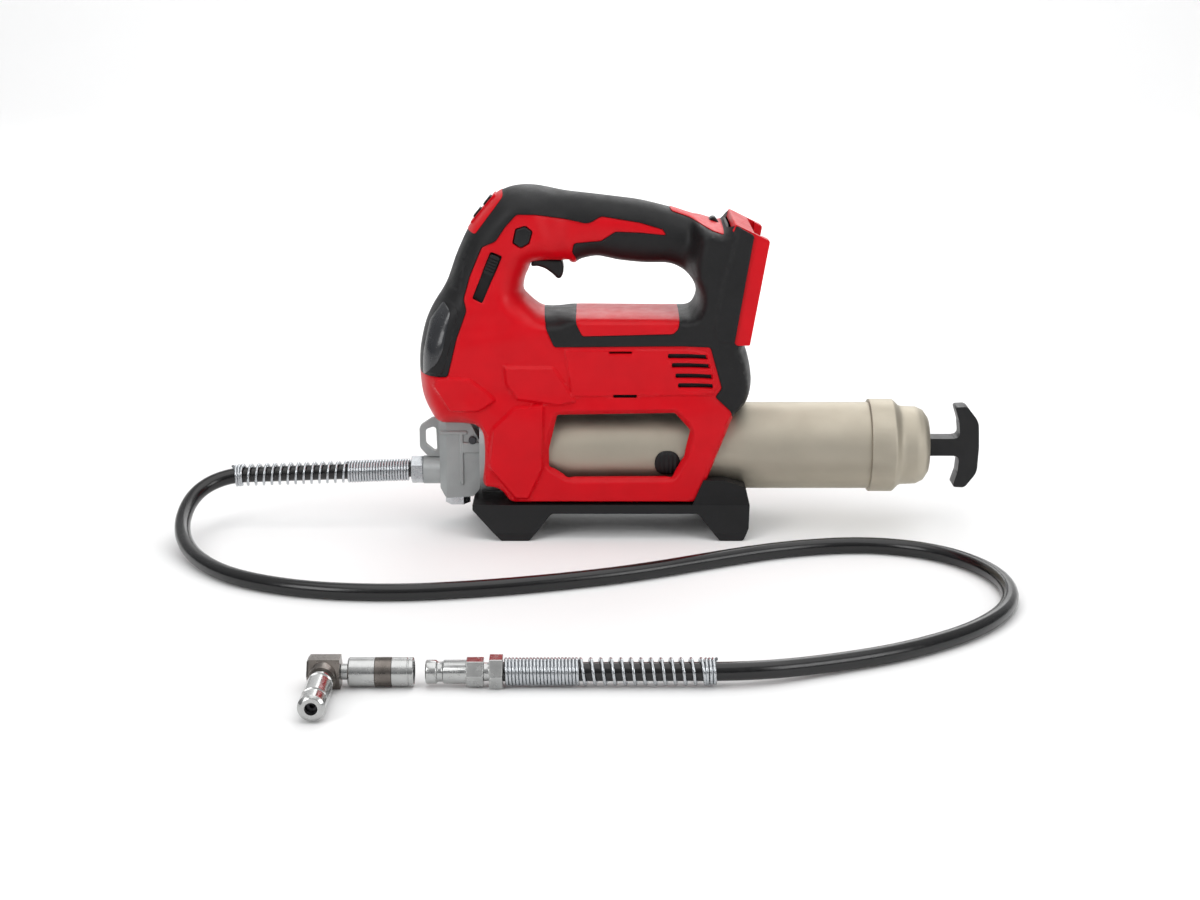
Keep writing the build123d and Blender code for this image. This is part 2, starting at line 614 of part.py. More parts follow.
with BuildPart() as pump_head:
    extrude(outline(HEAD_SIDE), amount=15, both=True)
    with BuildSketch(Plane.XY):
        with BuildLine():
            Polyline((-170, -8), (-164, -15), (-136, -15), (-136, 15), (-164, 15), (-170, 8), close=True)
        make_face()
    extrude(amount=100, mode=Mode.INTERSECT)
    extrude(outline(EYE_SIDE), amount=2.6, both=True)
    extrude(outline(EYE_HOLE), amount=10, both=True, mode=Mode.SUBTRACT)
    with BuildSketch(across(-180, OUTLET_Z)):
        Circle(9.2)
    extrude(amount=14)
    with BuildSketch(across(-142, BARREL_Z)):
        Circle(30.2)
    extrude(amount=15)
    with BuildSketch(across(-137, BARREL_Z)):
        Circle(BARREL_R + FIT)
    extrude(amount=11, mode=Mode.SUBTRACT)
    with BuildSketch(across(PLUNGER_X, BARREL_Z)):
        Circle(4)
    extrude(amount=30, mode=Mode.SUBTRACT)                         # the grease's way in
    with BuildSketch(Plane.XY.offset(39.5)):
        with Locations((PLUNGER_X, 0)):
            Circle(PLUNGER_R + FIT)
    extrude(amount=40, mode=Mode.SUBTRACT)                         # the plunger's bore
    with BuildSketch(Plane.XY.offset(30)):
        with Locations((PLUNGER_X, 0)):
            Circle(2.5)
    extrude(amount=12, mode=Mode.SUBTRACT)                         # the check ball's seat
    with BuildSketch(Plane.XY.offset(20)):
        with Locations((PLUNGER_X, 0)):
            Circle(4.2)
    extrude(amount=18.5, mode=Mode.SUBTRACT)                       # the valve chamber
    with BuildSketch(across(-181, OUTLET_Z)):
        Circle(5.05)
    extrude(amount=9, mode=Mode.SUBTRACT)
    with BuildSketch(across(-181, OUTLET_Z - 2)):
        Circle(2.5)
    extrude(amount=181 + PLUNGER_X, mode=Mode.SUBTRACT)            # the grease's way out
pump_head.part.label = "pump_head"
export_step(pump_head.part, "parts/pump_head.step")

BALL_R = 3.2
BALL_Z = 38.5 - math.sqrt(BALL_R**2 - 2.5**2) - 0.03
with BuildPart(Plane(origin=(PLUNGER_X, 0, BALL_Z))) as check_ball:
    Sphere(BALL_R)
check_ball.part.label = "check_ball"
export_step(check_ball.part, "parts/check_ball.step")

with BuildPart() as check_spring:
    with BuildLine():
        spring_line = Helix(1.25, 5.6, 2.4, center=(PLUNGER_X, 0, 27.6))
    with BuildSketch(Plane(origin=spring_line @ 0, z_dir=spring_line % 0)):
        Circle(0.3)
    sweep()
check_spring.part.label = "check_spring"
export_step(check_spring.part, "parts/check_spring.step")

with BuildPart() as head_plug:
    with BuildSketch(Plane.XY.offset(14.5)):
        with Locations((PLUNGER_X, 0)):
            RegularPolygon(8.1, 6)
    extrude(amount=6.3)
    with BuildSketch(Plane.XY.offset(20.5)):
        with Locations((PLUNGER_X, 0)):
            Circle(4.2)
    extrude(amount=6.6)
head_plug.part.label = "head_plug"
export_step(head_plug.part, "parts/head_plug.step")

with BuildPart() as outlet_nut:
    with BuildSketch(across(-188, OUTLET_Z)):
        RegularPolygon(8, 6, major_radius=False, rotation=30)
    extrude(amount=7.8)
    with BuildSketch(across(-181, OUTLET_Z)):
        Circle(5.05)
    extrude(amount=9)
    with BuildSketch(across(-188, OUTLET_Z)):
        Circle(2.5)
    extrude(amount=16, mode=Mode.SUBTRACT)
    with BuildSketch(across(-188, OUTLET_Z)):
        Circle(HOSE_R + 0.3)
    extrude(amount=1, mode=Mode.SUBTRACT)
outlet_nut.part.label = "outlet_nut"
export_step(outlet_nut.part, "parts/outlet_nut.step")

with BuildPart() as bleed_valve:
    with BuildSketch(facing(-147, 60, y=-15)):
        Circle(2.6)
    extrude(amount=2.4)
    fillet(bleed_valve.faces().sort_by(Axis.Y)[0].edges(), 0.7)
bleed_valve.part.label = "bleed_valve"
export_step(bleed_valve.part, "parts/bleed_valve.step")

# ---------------------------------------------------------------- grease barrel
with BuildPart() as barrel_gasket:
    with BuildSketch(across(-137, BARREL_Z)):
        Circle(BARREL_R)
        Circle(BORE_R, mode=Mode.SUBTRACT)
    extrude(amount=1.45)
barrel_gasket.part.label = "barrel_gasket"
export_step(barrel_gasket.part, "parts/barrel_gasket.step")

with BuildPart() as barrel_tube:
    with BuildSketch(across(BARREL_FRONT, BARREL_Z)):
        Circle(BARREL_R)
        Circle(BORE_R, mode=Mode.SUBTRACT)
    extrude(amount=TUBE_REAR - BARREL_FRONT)
barrel_tube.part.label = "barrel_tube"
export_step(barrel_tube.part, "parts/barrel_tube.step")

with BuildPart() as barrel_end_cap:
    revolve(profile([(109.7, BARREL_R), (109.7, 29.6), (110.4, 30.2), (125.4, 30.2), (126.2, 29.6),
                     (129.4, 26.4), (131, 25.7), (141, 25.2), (145.6, 23), (148.6, 18.6),
                     (CAP_REAR, 13), (CAP_REAR, ROD_R + FIT), (147, ROD_R + FIT), (146.6, 13),
                     (144, 20), (139, 23.2), (129, 24), (TUBE_REAR, 25.5), (TUBE_REAR, BARREL_R)],
                    BARREL_Z), axis=line_x(BARREL_Z))
barrel_end_cap.part.label = "barrel_end_cap"
export_step(barrel_end_cap.part, "parts/barrel_end_cap.step")

with BuildPart() as follower_cup:
    revolve(profile([(-134, 0), (-134, 20), (-131, 26.5), (-126, 26.9), (-126, 0)], BARREL_Z),
            axis=line_x(BARREL_Z))
follower_cup.part.label = "follower_cup"
export_step(follower_cup.part, "parts/follower_cup.step")

with BuildPart() as follower_plate:
    revolve(profile([(-126, ROD_R + FIT), (-126, 26.2), (-124.5, 26.2), (-124.5, 14), (-120, 14),
                     (-120, ROD_R + FIT)], BARREL_Z), axis=line_x(BARREL_Z))
follower_plate.part.label = "follower_plate"
export_step(follower_plate.part, "parts/follower_plate.step")

with BuildPart() as follower_spring:
    with BuildLine():
        spring_line = Helix(12, 261, 20, center=(-123.3, 0, BARREL_Z), direction=(1, 0, 0))
    with BuildSketch(Plane(origin=spring_line @ 0, z_dir=spring_line % 0)):
        Circle(1.1)
    sweep()
follower_spring.part.label = "follower_spring"
export_step(follower_spring.part, "parts/follower_spring.step")

with BuildPart() as follower_rod:
    with BuildSketch(across(-125.9, BARREL_Z)):
        Circle(ROD_R)
    extrude(amount=125.9 + 170)
follower_rod.part.label = "follower_rod"
export_step(follower_rod.part, "parts/follower_rod.step")

T_SIDE = [(165.5, 79.6, 1.5), (173.5, 80, 4), (181.2, 70, 12), (182, 53, 40), (181.2, 36, 12),
          (173.5, 26, 4), (165.5, 26.4, 1.5), (168.5, 36, 8), (169.5, 47, 3), (150.2, 47.3, 0),
          (150.2, 58.7, 0), (169.5, 59, 3), (168.5, 70, 8)]
with BuildPart() as t_handle:
    extrude(outline(T_SIDE), amount=7, both=True)
    with BuildSketch(across(150, BARREL_Z)):
        Circle(5.7)
        Rectangle(40, 80)
        Rectangle(14.2, 11.4, mode=Mode.SUBTRACT)
        Circle(5.7)
    extrude(amount=16, mode=Mode.SUBTRACT)
    with BuildSketch(across(150.2, BARREL_Z)):
        Circle(5.7)
    extrude(amount=20)
    with BuildSketch(across(150, BARREL_Z)):
        Circle(ROD_R)
    extrude(amount=20, mode=Mode.SUBTRACT)
t_handle.part.label = "t_handle"
export_step(t_handle.part, "parts/t_handle.step")

# ---------------------------------------------------------------- hose and its fittings
runs = [Vector(b) - Vector(a) for a, b in zip(HOSE_ROUTE, HOSE_ROUTE[1:])]
bend_radii = []
for before, after in zip(runs, runs[1:]):
    half_turn = math.radians(before.get_angle(after)) / 2
    bend_radii.append(0.45 * min(before.length, after.length) / math.tan(half_turn))

with BuildPart() as hose:
    with BuildLine():
        hose_line = FilletPolyline(*HOSE_ROUTE, radius=bend_radii)
    with BuildSketch(Plane(origin=hose_line @ 0, z_dir=hose_line % 0)):
        Circle(HOSE_R)
    sweep()
hose.part.label = "hose"
export_step(hose.part, "parts/hose.step")
print("bend radii", [round(radius) for radius in bend_radii])
print("hose length", round(hose_line.length), "volume share", hose.part.volume / (math.pi * HOSE_R**2 * hose_line.length))


def spring_guard(start, heading, closed, open_coils, ferrule):
    """A guard that slips over the hose: closed coils, then open ones, then a crimped ferrule."""
    inner = GUARD_R - 2 * GUARD_WIRE
    at_open = start + heading * closed
    at_ferrule = at_open + heading * open_coils
    with BuildPart() as made:
        with BuildSketch(Plane(origin=start, z_dir=heading)):
            Circle(GUARD_R)
            Circle(inner, mode=Mode.SUBTRACT)
        extrude(amount=closed)
        with BuildSketch(Plane(origin=at_ferrule, z_dir=heading)):
            Circle(GUARD_R - 0.2)
            Circle(inner, mode=Mode.SUBTRACT)
        extrude(amount=ferrule)
        with BuildLine():
            coil = Helix(5.2, open_coils - 2.2, GUARD_R - GUARD_WIRE, center=at_open + heading * 1.1,
                         direction=heading)
        with BuildSketch(Plane(origin=coil @ 0, z_dir=coil % 0)):
            Circle(GUARD_WIRE)
        sweep()
    return made.part


head_start = Vector(-188.6, -0.02, OUTLET_Z - 0.05)
head_heading = (Vector(*GUARD_HEAD_END) - head_start).normalized()
with BuildPart() as spring_guard_head:
    add(spring_guard(head_start, head_heading, 41, 68, 7.5))
spring_guard_head.part.label = "spring_guard_head"
export_step(spring_guard_head.part, "parts/spring_guard_head.step")

end_start = Vector(-114.9, FITTING_Y, FITTING_Z)
with BuildPart() as spring_guard_end:
    add(spring_guard(end_start, Vector(1, 0, 0), 39, 66, 5))
spring_guard_end.part.label = "spring_guard_end"
export_step(spring_guard_end.part, "parts/spring_guard_end.step")

with BuildPart() as coupler_fitting:
    for x, length, flats in ((-122, 7, 16), (-133.9, 9, 13.5)):
        with BuildSketch(across(x, FITTING_Z, FITTING_Y)):
            RegularPolygon(flats / 2, 6, major_radius=False)
        extrude(amount=length)
    revolve(profile([(-155, 3), (-155, 5.6), (-154.4, 6.2), (-149.5, 6.2), (-148.7, 5.2), (-146.3, 5.2),
                     (-145.5, 6.2), (-133, 6.2), (-133, 4.8), (-116, 4.8), (-116, 3)],
                    FITTING_Z, FITTING_Y), axis=line_x(FITTING_Z, FITTING_Y))
    with BuildSketch(across(-156, FITTING_Z, FITTING_Y)):
        Circle(3)
    extrude(amount=41, mode=Mode.SUBTRACT)
coupler_fitting.part.label = "coupler_fitting"
export_step(coupler_fitting.part, "parts/coupler_fitting.step")

# ---------------------------------------------------------------- right-angle coupler
with BuildPart() as elbow_sleeve:
    revolve(profile([(-161, 6.4), (-161, 7.2), (-161.5, 7.6), (-194.4, 7.6), (-195, 7.1), (-195, 4),
                     (-201, 4), (-201, 1.6), (-182, 1.6), (-182, 6.4)], FITTING_Z, FITTING_Y),
            axis=line_x(FITTING_Z, FITTING_Y))
elbow_sleeve.part.label = "elbow_sleeve"
export_step(elbow_sleeve.part, "parts/elbow_sleeve.step")

with BuildPart() as elbow_body:
    with BuildSketch(across(-216, FITTING_Z, FITTING_Y)):
        RegularPolygon(8, 6, major_radius=False)
    extrude(amount=17)
    chamfer(elbow_body.faces().sort_by(Axis.X)[0].edges(), 1.2)
    with BuildSketch(Plane(origin=(-207.5, FITTING_Y, FITTING_Z), z_dir=(0, -1, 0))):
        Circle(7.2)
    extrude(amount=14)
    with BuildSketch(across(-204, FITTING_Z, FITTING_Y)):
        Circle(4 + FIT)
    extrude(amount=6, mode=Mode.SUBTRACT)
    with BuildSketch(Plane(origin=(-207.5, FITTING_Y - 14, FITTING_Z), z_dir=(0, 1, 0))):
        Circle(1.6)
    extrude(amount=14, mode=Mode.SUBTRACT)
elbow_body.part.label = "elbow_body"
export_step(elbow_body.part, "parts/elbow_body.step")

with BuildPart() as nozzle:
    with BuildSketch(Plane(origin=(-207.5, FITTING_Y - 14, FITTING_Z), z_dir=(0, -1, 0))):
        Circle(6.2)
    extrude(amount=9)
    with BuildSketch(Plane(origin=(-207.5, FITTING_Y - 23, FITTING_Z), z_dir=(0, -1, 0))):
        Circle(7.0)
    extrude(amount=9)
    with BuildSketch(Plane(origin=(-207.5, FITTING_Y - 32, FITTING_Z), z_dir=(0, -1, 0))):
        Circle(6.2)
    extrude(amount=22)
    chamfer(nozzle.faces().sort_by(Axis.Y)[0].edges(), 0.7)
    with BuildSketch(Plane(origin=(-207.5, FITTING_Y - 42, FITTING_Z), z_dir=(0, -1, 0))):
        Circle(3.3)
    extrude(amount=13, mode=Mode.SUBTRACT)
    with BuildSketch(Plane(origin=(-207.5, FITTING_Y - 13, FITTING_Z), z_dir=(0, -1, 0))):
        Circle(1.6)
    extrude(amount=31, mode=Mode.SUBTRACT)
nozzle.part.label = "nozzle"
export_step(nozzle.part, "parts/nozzle.step")
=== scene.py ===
import math

import bmesh
import bpy
import numpy as np
from mathutils import Matrix, Vector
from mathutils.geometry import delaunay_2d_cdt


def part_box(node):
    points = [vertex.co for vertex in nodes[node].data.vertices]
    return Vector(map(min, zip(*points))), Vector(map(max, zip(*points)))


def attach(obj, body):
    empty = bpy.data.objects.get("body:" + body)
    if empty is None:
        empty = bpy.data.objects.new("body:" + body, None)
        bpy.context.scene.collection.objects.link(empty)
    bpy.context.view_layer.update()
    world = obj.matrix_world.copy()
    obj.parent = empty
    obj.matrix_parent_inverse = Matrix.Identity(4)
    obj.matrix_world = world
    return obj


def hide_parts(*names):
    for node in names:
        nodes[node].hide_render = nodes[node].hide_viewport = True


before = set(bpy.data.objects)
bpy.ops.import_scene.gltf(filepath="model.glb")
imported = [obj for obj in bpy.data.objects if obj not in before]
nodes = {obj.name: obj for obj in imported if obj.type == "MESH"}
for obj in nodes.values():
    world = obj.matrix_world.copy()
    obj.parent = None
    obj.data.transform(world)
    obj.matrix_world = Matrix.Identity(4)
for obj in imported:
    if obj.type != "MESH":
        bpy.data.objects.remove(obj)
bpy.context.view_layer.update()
MM = 0.001

# ------------------------------------------------------------------ camera
camera = bpy.data.objects.new("camera", bpy.data.cameras.new("camera"))
bpy.context.scene.collection.objects.link(camera)
camera.location = (-0.0647, -1.3466, 0.386)
camera.rotation_euler = (math.radians(75.97), 0, 0)
camera.data.lens = 63.63
camera.data.sensor_width = 36
bpy.context.scene.camera = camera
bpy.context.scene.view_settings.view_transform = "Standard"


# ------------------------------------------------------------------ materials
def material(name, colour, rough, metallic=0.0, tint=0.06, tint_scale=60.0, rough_spread=0.06,
             grain=0.0, grain_scale=2500.0, stretch=(1, 1, 1), dust=None, coat=0.0, shine=0.5):
    """Base colour and roughness vary with noise in object space, and a fine grain is the bump."""
    made = bpy.data.materials.new(name)
    made.use_nodes = True
    tree = made.node_tree
    shader = tree.nodes["Principled BSDF"]
    link = tree.links.new
    place = tree.nodes.new("ShaderNodeTexCoord")
    scaled = tree.nodes.new("ShaderNodeMapping")
    scaled.inputs["Scale"].default_value = stretch
    link(place.outputs["Object"], scaled.inputs["Vector"])

    def noise(scale, detail=3.0):
        made_noise = tree.nodes.new("ShaderNodeTexNoise")
        made_noise.inputs["Scale"].default_value = scale
        made_noise.inputs["Detail"].default_value = detail
        link(scaled.outputs["Vector"], made_noise.inputs["Vector"])
        return made_noise

    broad = noise(tint_scale, 5.0)
    ramp = tree.nodes.new("ShaderNodeValToRGB")
    low = [c * (1 - tint) for c in colour]
    high = [min(1, c * (1 + tint)) for c in colour]
    ramp.color_ramp.elements[0].position = 0.3
    ramp.color_ramp.elements[1].position = 0.7
    ramp.color_ramp.elements[0].color = (*low, 1)
    ramp.color_ramp.elements[1].color = (*high, 1)
    link(broad.outputs["Fac"], ramp.inputs["Fac"])
    base = ramp.outputs["Color"]
    if dust:
        specks = noise(tint_scale * 14, 8.0)
        cut = tree.nodes.new("ShaderNodeMapRange")
        cut.inputs["From Min"].default_value = 0.6
        cut.inputs["From Max"].default_value = 0.8
        cut.inputs["To Max"].default_value = 0.35
        link(specks.outputs["Fac"], cut.inputs["Value"])
        mix = tree.nodes.new("ShaderNodeMix")
        mix.data_type = "RGBA"
        mix.inputs["B"].default_value = (*dust, 1)
        link(cut.outputs["Result"], mix.inputs["Factor"])
        link(base, mix.inputs["A"])
        base = mix.outputs["Result"]
    link(base, shader.inputs["Base Color"])
    smudge = noise(tint_scale * 2.3, 4.0)
    spread = tree.nodes.new("ShaderNodeMapRange")
    spread.inputs["From Min"].default_value = 0.3
    spread.inputs["From Max"].default_value = 0.7
    spread.inputs["To Min"].default_value = max(0.03, rough - rough_spread)
    spread.inputs["To Max"].default_value = min(1, rough + rough_spread)
    link(smudge.outputs["Fac"], spread.inputs["Value"])
    link(spread.outputs["Result"], shader.inputs["Roughness"])
    shader.inputs["Metallic"].default_value = metallic
    shader.inputs["Specular IOR Level"].default_value = shine
    if coat:
        shader.inputs["Coat Weight"].default_value = coat
        shader.inputs["Coat Roughness"].default_value = 0.12
    if grain:
        fine = noise(grain_scale, 2.0)
        bump = tree.nodes.new("ShaderNodeBump")
        bump.inputs["Strength"].default_value = grain
        bump.inputs["Distance"].default_value = 0.0002
        link(fine.outputs["Fac"], bump.inputs["Height"])
        link(bump.outputs["Normal"], shader.inputs["Normal"])
    return made


RED = material("moulded_red", (0.60, 0.0012, 0.0075), 0.38, tint=0.05, grain=0.12,
               grain_scale=1800, shine=0.22)
RUBBER = material("overmould_rubber", (0.0075, 0.0075, 0.0082), 0.5, shine=0.3, tint=0.14,
                  grain=0.35, grain_scale=2600, dust=(0.024, 0.024, 0.026))
BLACK = material("moulded_black", (0.0075, 0.0075, 0.0082), 0.4, shine=0.32, tint=0.12, grain=0.25,
                 grain_scale=2200, dust=(0.03, 0.03, 0.032))
GLOSS = material("smoked_gloss", (0.024, 0.025, 0.028), 0.22, tint=0.1, grain=0.05, coat=0.3)
BARREL = material("barrel_nickel", (0.47, 0.43, 0.355), 0.56, metallic=1.0, tint=0.05,
                  tint_scale=22, grain=0.05, grain_scale=3000)
CAST = material("die_cast_grey", (0.34, 0.355, 0.355), 0.45, metallic=0.3, tint=0.08, grain=0.4,
                grain_scale=1200, dust=(0.42, 0.43, 0.44))
ZINC = material("bright_zinc", (0.50, 0.52, 0.54), 0.25, metallic=1.0, tint=0.08, tint_scale=200,
                grain=0.05)
CHROME = material("coupler_chrome", (0.46, 0.465, 0.46), 0.24, metallic=1.0, tint=0.07,
                  tint_scale=120, grain=0.05)
STEEL = material("elbow_steel", (0.19, 0.17, 0.155), 0.3, metallic=1.0, tint=0.22, tint_scale=90,
                 grain=0.12)
DARK = material("blackened_steel", (0.06, 0.06, 0.065), 0.4, metallic=0.8, tint=0.15, grain=0.2)
GEAR = material("ground_steel", (0.42, 0.42, 0.43), 0.33, metallic=1.0, tint=0.1, grain=0.1)
SPRING = material("spring_wire", (0.36, 0.36, 0.37), 0.3, metallic=1.0, tint=0.12, grain=0.08)
HOSE = material("hose_cover", (0.0045, 0.0045, 0.005), 0.2, shine=0.5, tint=0.2,
                tint_scale=150, grain=0.22, grain_scale=1500, dust=(0.02, 0.02, 0.022))
COPPER = material("copper_wire", (0.55, 0.21, 0.09), 0.35, metallic=1.0, tint=0.15, grain=0.2)
MAGNET = material("sintered_magnet", (0.09, 0.09, 0.10), 0.55, metallic=0.3, tint=0.15, grain=0.3)
SEAL = material("seal_rubber", (0.02, 0.02, 0.022), 0.6, tint=0.15, grain=0.3)
BY_SLOT = {"red_plastic": RED, "black_rubber": RUBBER, "black_plastic": BLACK,
           "barrel_steel": BARREL, "cast_head": CAST, "zinc_steel": ZINC, "dark_steel": DARK,
           "gear_steel": GEAR, "spring_steel": SPRING, "hose_rubber": HOSE, "copper": COPPER,
           "magnet": MAGNET, "seal_rubber": SEAL}


# ------------------------------------------------------------------ making pieces
def piece(name, vertices, faces, finish, body, sharp=35):
    """A mesh in metres that rides on a body."""
    mesh = bpy.data.meshes.new(name)
    mesh.from_pydata([tuple(v) for v in vertices], [], faces)
    mesh.validate()
    mesh.materials.append(finish)
    made = bpy.data.objects.new(name, mesh)
    bpy.context.scene.collection.objects.link(made)
    mesh.shade_smooth()
    mesh.set_sharp_from_angle(angle=math.radians(sharp))
    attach(made, body)
    return made


def applied(obj, sharp=35):
    """The modifiers' result becomes the piece's own mesh."""
    graph = bpy.context.evaluated_depsgraph_get()
    mesh = bpy.data.meshes.new_from_object(obj.evaluated_get(graph))
    obj.modifiers.clear()
    obj.data = mesh
    mesh.shade_smooth()
    mesh.set_sharp_from_angle(angle=math.radians(sharp))


# ------------------------------------------------------------------ the hose and what is on it
ROUTE = [(-187, 0, 36.5), (-289, -0.85, 33.2), (-307, -1, 32.6), (-322.5, -9.5, 28),
         (-330.5, -25, 21), (-331, -51, 12.5), (-322, -81, 6.8), (-303, -114, 5.1),
         (-277, -141, 5.1), (-235, -161, 5.1), (-184, -166, 5.1), (-136, -158, 5.1),
         (-88, -144, 5.1), (-42, -126, 5.1), (4, -100, 5.1), (50, -76, 5.1), (103, -65, 5.1),
         (148, -83, 5.1), (175, -127, 5.1), (175, -181, 5.1), (148, -229, 5.1), (102, -267, 5.1),
         (54, -290, 5.6), (13, -307.6, 8.05), (-31.7, -307.7, 8.05), (-115, -308, 8.05)]


def route_curve(name, bevel):
    """The hose's NURBS curve, as a tube of radius bevel, or bare at 0."""
    curve = bpy.data.curves.new(name, "CURVE")
    curve.dimensions = "3D"
    curve.resolution_u = 14
    spline = curve.splines.new("NURBS")
    spline.points.add(len(ROUTE) - 1)
    for point, (x, y, z) in zip(spline.points, ROUTE):
        point.co = (x * MM, y * MM, z * MM, 1)
    spline.order_u = 3
    spline.use_endpoint_u = True
    curve.bevel_depth = bevel
    curve.bevel_resolution = 7
    curve.use_fill_caps = bevel > 0
    made = bpy.data.objects.new(name, curve)
    bpy.context.scene.collection.objects.link(made)
    return made


def read_route():
    """Points along the hose's centreline, and the length up to each of them."""
    bare = route_curve("route", 0)
    bpy.context.view_layer.update()
    graph = bpy.context.evaluated_depsgraph_get()
    mesh = bpy.data.meshes.new_from_object(bare.evaluated_get(graph))
    line = [v.co.copy() for v in mesh.vertices]
    bpy.data.objects.remove(bare)
    run = [0.0]
    for a, b in zip(line, line[1:]):
        run.append(run[-1] + (b - a).length)
    return line, run


LINE, RUN = read_route()
HOSE_LENGTH = RUN[-1]


def on_line(s):
    """The centreline's point and direction at the length s."""
    s = min(max(s, 0), HOSE_LENGTH)
    k = min(int(np.searchsorted(RUN, s, side="right")) - 1, len(LINE) - 2)
    k = max(k, 0)
    step = LINE[k + 1] - LINE[k]
    return LINE[k] + step * ((s - RUN[k]) / step.length), step.normalized()


def coil(name, s_of_turn, turns, radius, wire, finish, body="housing"):
    """A round wire wound on the hose. s_of_turn gives the length along the hose at each turn."""
    around, section = 22, 10
    steps = int(turns * around)
    vertices, faces = [], []
    for i in range(steps + 1):
        turn = turns * i / steps
        middle, ahead = on_line(s_of_turn(turn))
        side = ahead.cross(Vector((0, 0, 1))).normalized()
        top = side.cross(ahead)
        angle = 2 * math.pi * turn
        out = side * math.cos(angle) + top * math.sin(angle)
        for j in range(section):
            a = 2 * math.pi * j / section
            vertices.append(middle + out * (radius + wire * math.cos(a))
                            + ahead * (wire * math.sin(a)))
    for i in range(steps):
        for j in range(section):
            a, b = i * section + j, i * section + (j + 1) % section
            faces.append((a, a + section, b + section, b))
    faces.append(tuple(range(section)))
    faces.append(tuple(range(steps * section, (steps + 1) * section))[::-1])
    return piece(name, vertices, faces, finish, body, 60)


def turned(name, profile, finish, body, origin, axis, sides=48, sharp=35):
    """A solid of revolution: profile is (along, radius) from a centre point at both ends, in mm."""
    ahead = Vector(axis).normalized()
    guide = Vector((0, 0, 1)) if abs(ahead.z) < 0.9 else Vector((1, 0, 0))
    side = ahead.cross(guide).normalized()
    top = side.cross(ahead)
    start = Vector(origin)
    vertices, faces = [], []
    for along, radius in profile:
        for j in range(sides):
            a = 2 * math.pi * j / sides
            vertices.append((start + ahead * along + (side * math.cos(a) + top * math.sin(a))
                             * max(radius, 0.02)) * MM)
    for i in range(len(profile) - 1):
        for j in range(sides):
            a, b = i * sides + j, i * sides + (j + 1) % sides
            faces.append((a, b, b + sides, a + sides))
    faces.append(tuple(range(sides))[::-1])
    faces.append(tuple(range((len(profile) - 1) * sides, len(profile) * sides)))
    return piece(name, vertices, faces, finish, body, sharp)


hose = route_curve("hose_line", 5.0 * MM)
hose.data.materials.append(HOSE)
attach(hose, "housing")
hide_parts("hose")

WIRE = 0.9 * MM
GUARD = 6.55 * MM                                  # the wire's centreline round the hose
PITCH = 5.2 * MM


def guard(name, start, closed, end, node):
    """A spring guard: closed turns from start, then open turns, then a ferrule at end."""
    shut = 1.83 * MM
    way = 1 if end > start else -1
    shut_turns = closed / shut
    open_turns = (abs(end - start) - closed) / PITCH

    def closed_at(turn):
        return start + way * (WIRE + turn * shut)

    def open_at(turn):
        return start + way * (closed + turn * PITCH)

    tight = coil(name + "_closed", closed_at, shut_turns - 0.6, GUARD, WIRE, ZINC)
    loose = coil(name + "_open", open_at, open_turns, GUARD, WIRE, ZINC)

    def last_at(turn):
        return end + way * (turn * 1.86 * MM - 2.6 * MM)

    ferrule = coil(name + "_end_turns", last_at, 3.2, GUARD - 0.15 * MM, WIRE, ZINC)
    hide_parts(node)
    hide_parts(node)
    return [tight, loose, ferrule]


head_guard = guard("guard_head", 1.6 * MM, 41 * MM, 114.2 * MM, "spring_guard_head")
end_guard = guard("guard_end", HOSE_LENGTH - 0.2 * MM, 39 * MM, HOSE_LENGTH - 107.4 * MM,
                  "spring_guard_end")

# ------------------------------------------------------------------ the housing's outer skins
# Outlines seen from the side, as (x, z) in mm. The skin's half width grows in from the silhouette.
SILHOUETTE = [(-170.3, 69.7), (-179.1, 86.7), (-181.1, 102.3), (-180.8, 118.8), (-177.2, 135.5),
              (-172.1, 147), (-162.9, 160.6), (-156.8, 178.7), (-148.4, 197.2), (-139.7, 207.8),
              (-131.2, 217.9), (-121.8, 222.3), (-112, 223.5), (-102.8, 222.9), (-88.2, 219.7),
              (-64.7, 217.1), (-39.3, 214), (-18.9, 208.9), (4.8, 200.8), (13.7, 198.3),
              (17, 222), (22, 250), (70, 250), (70, 127), (26, 124.5), (30.2, 116), (33.2, 100),
              (31.1, 88.5), (25, 80.5), (22.5, 79.5), (-0.5, 20.4), (-124, 20.4), (-129.6, 30.4),
              (-141.8, 30.8), (-140.5, 52), (-141, 70)]
HAND = [(-109.8, 170.7), (-112.8, 164.5), (-114.1, 156.2), (-110, 151.5), (-103.2, 145.7),
        (-99, 144.4), (-7.5, 143.7), (-4.4, 148.2), (-2.8, 154.7), (-4.5, 161.7), (-9, 167.8),
        (-15.4, 171.7), (-21.4, 173.6), (-36.9, 173.6), (-52, 175.1), (-66.6, 178.3),
        (-77.6, 176), (-81.1, 172.8), (-84.9, 174.9), (-99, 175.5), (-108.6, 174.5)]
WINDOW = [(-92, 80.4), (-17, 81.6), (-7.2, 70.6), (-10.9, 53.6), (-18.5, 39.7), (-85.2, 39.3),
          (-97.3, 47), (-97.3, 58.2)]
SPLIT = [(-161.3, 105.3), (-155.3, 129.6), (-149, 147), (-150.8, 154.3), (-146.7, 168.8),
         (-138.9, 187.2), (-130.3, 190.7), (-123.8, 200.3), (-116.9, 207.7), (-105.4, 207.4),
         (-88.5, 204.3), (-74.1, 200.9), (-70.7, 201.3), (-64.1, 205.3), (-39.6, 201.3),
         (-24.8, 196.9), (-22.8, 193.1), (-39.6, 194.8), (-55.1, 195.4), (-64.1, 189.3),
         (-81, 187.9), (-82.3, 181.7), (-80.3, 178.9)]
BAND_TOP = [(-98.6, 136), (-93.6, 124.4), (4.9, 125.2)]
BUMPER = [(4.9, 125.2), (12.4, 98.6), (8.4, 92.7), (18, 84)]
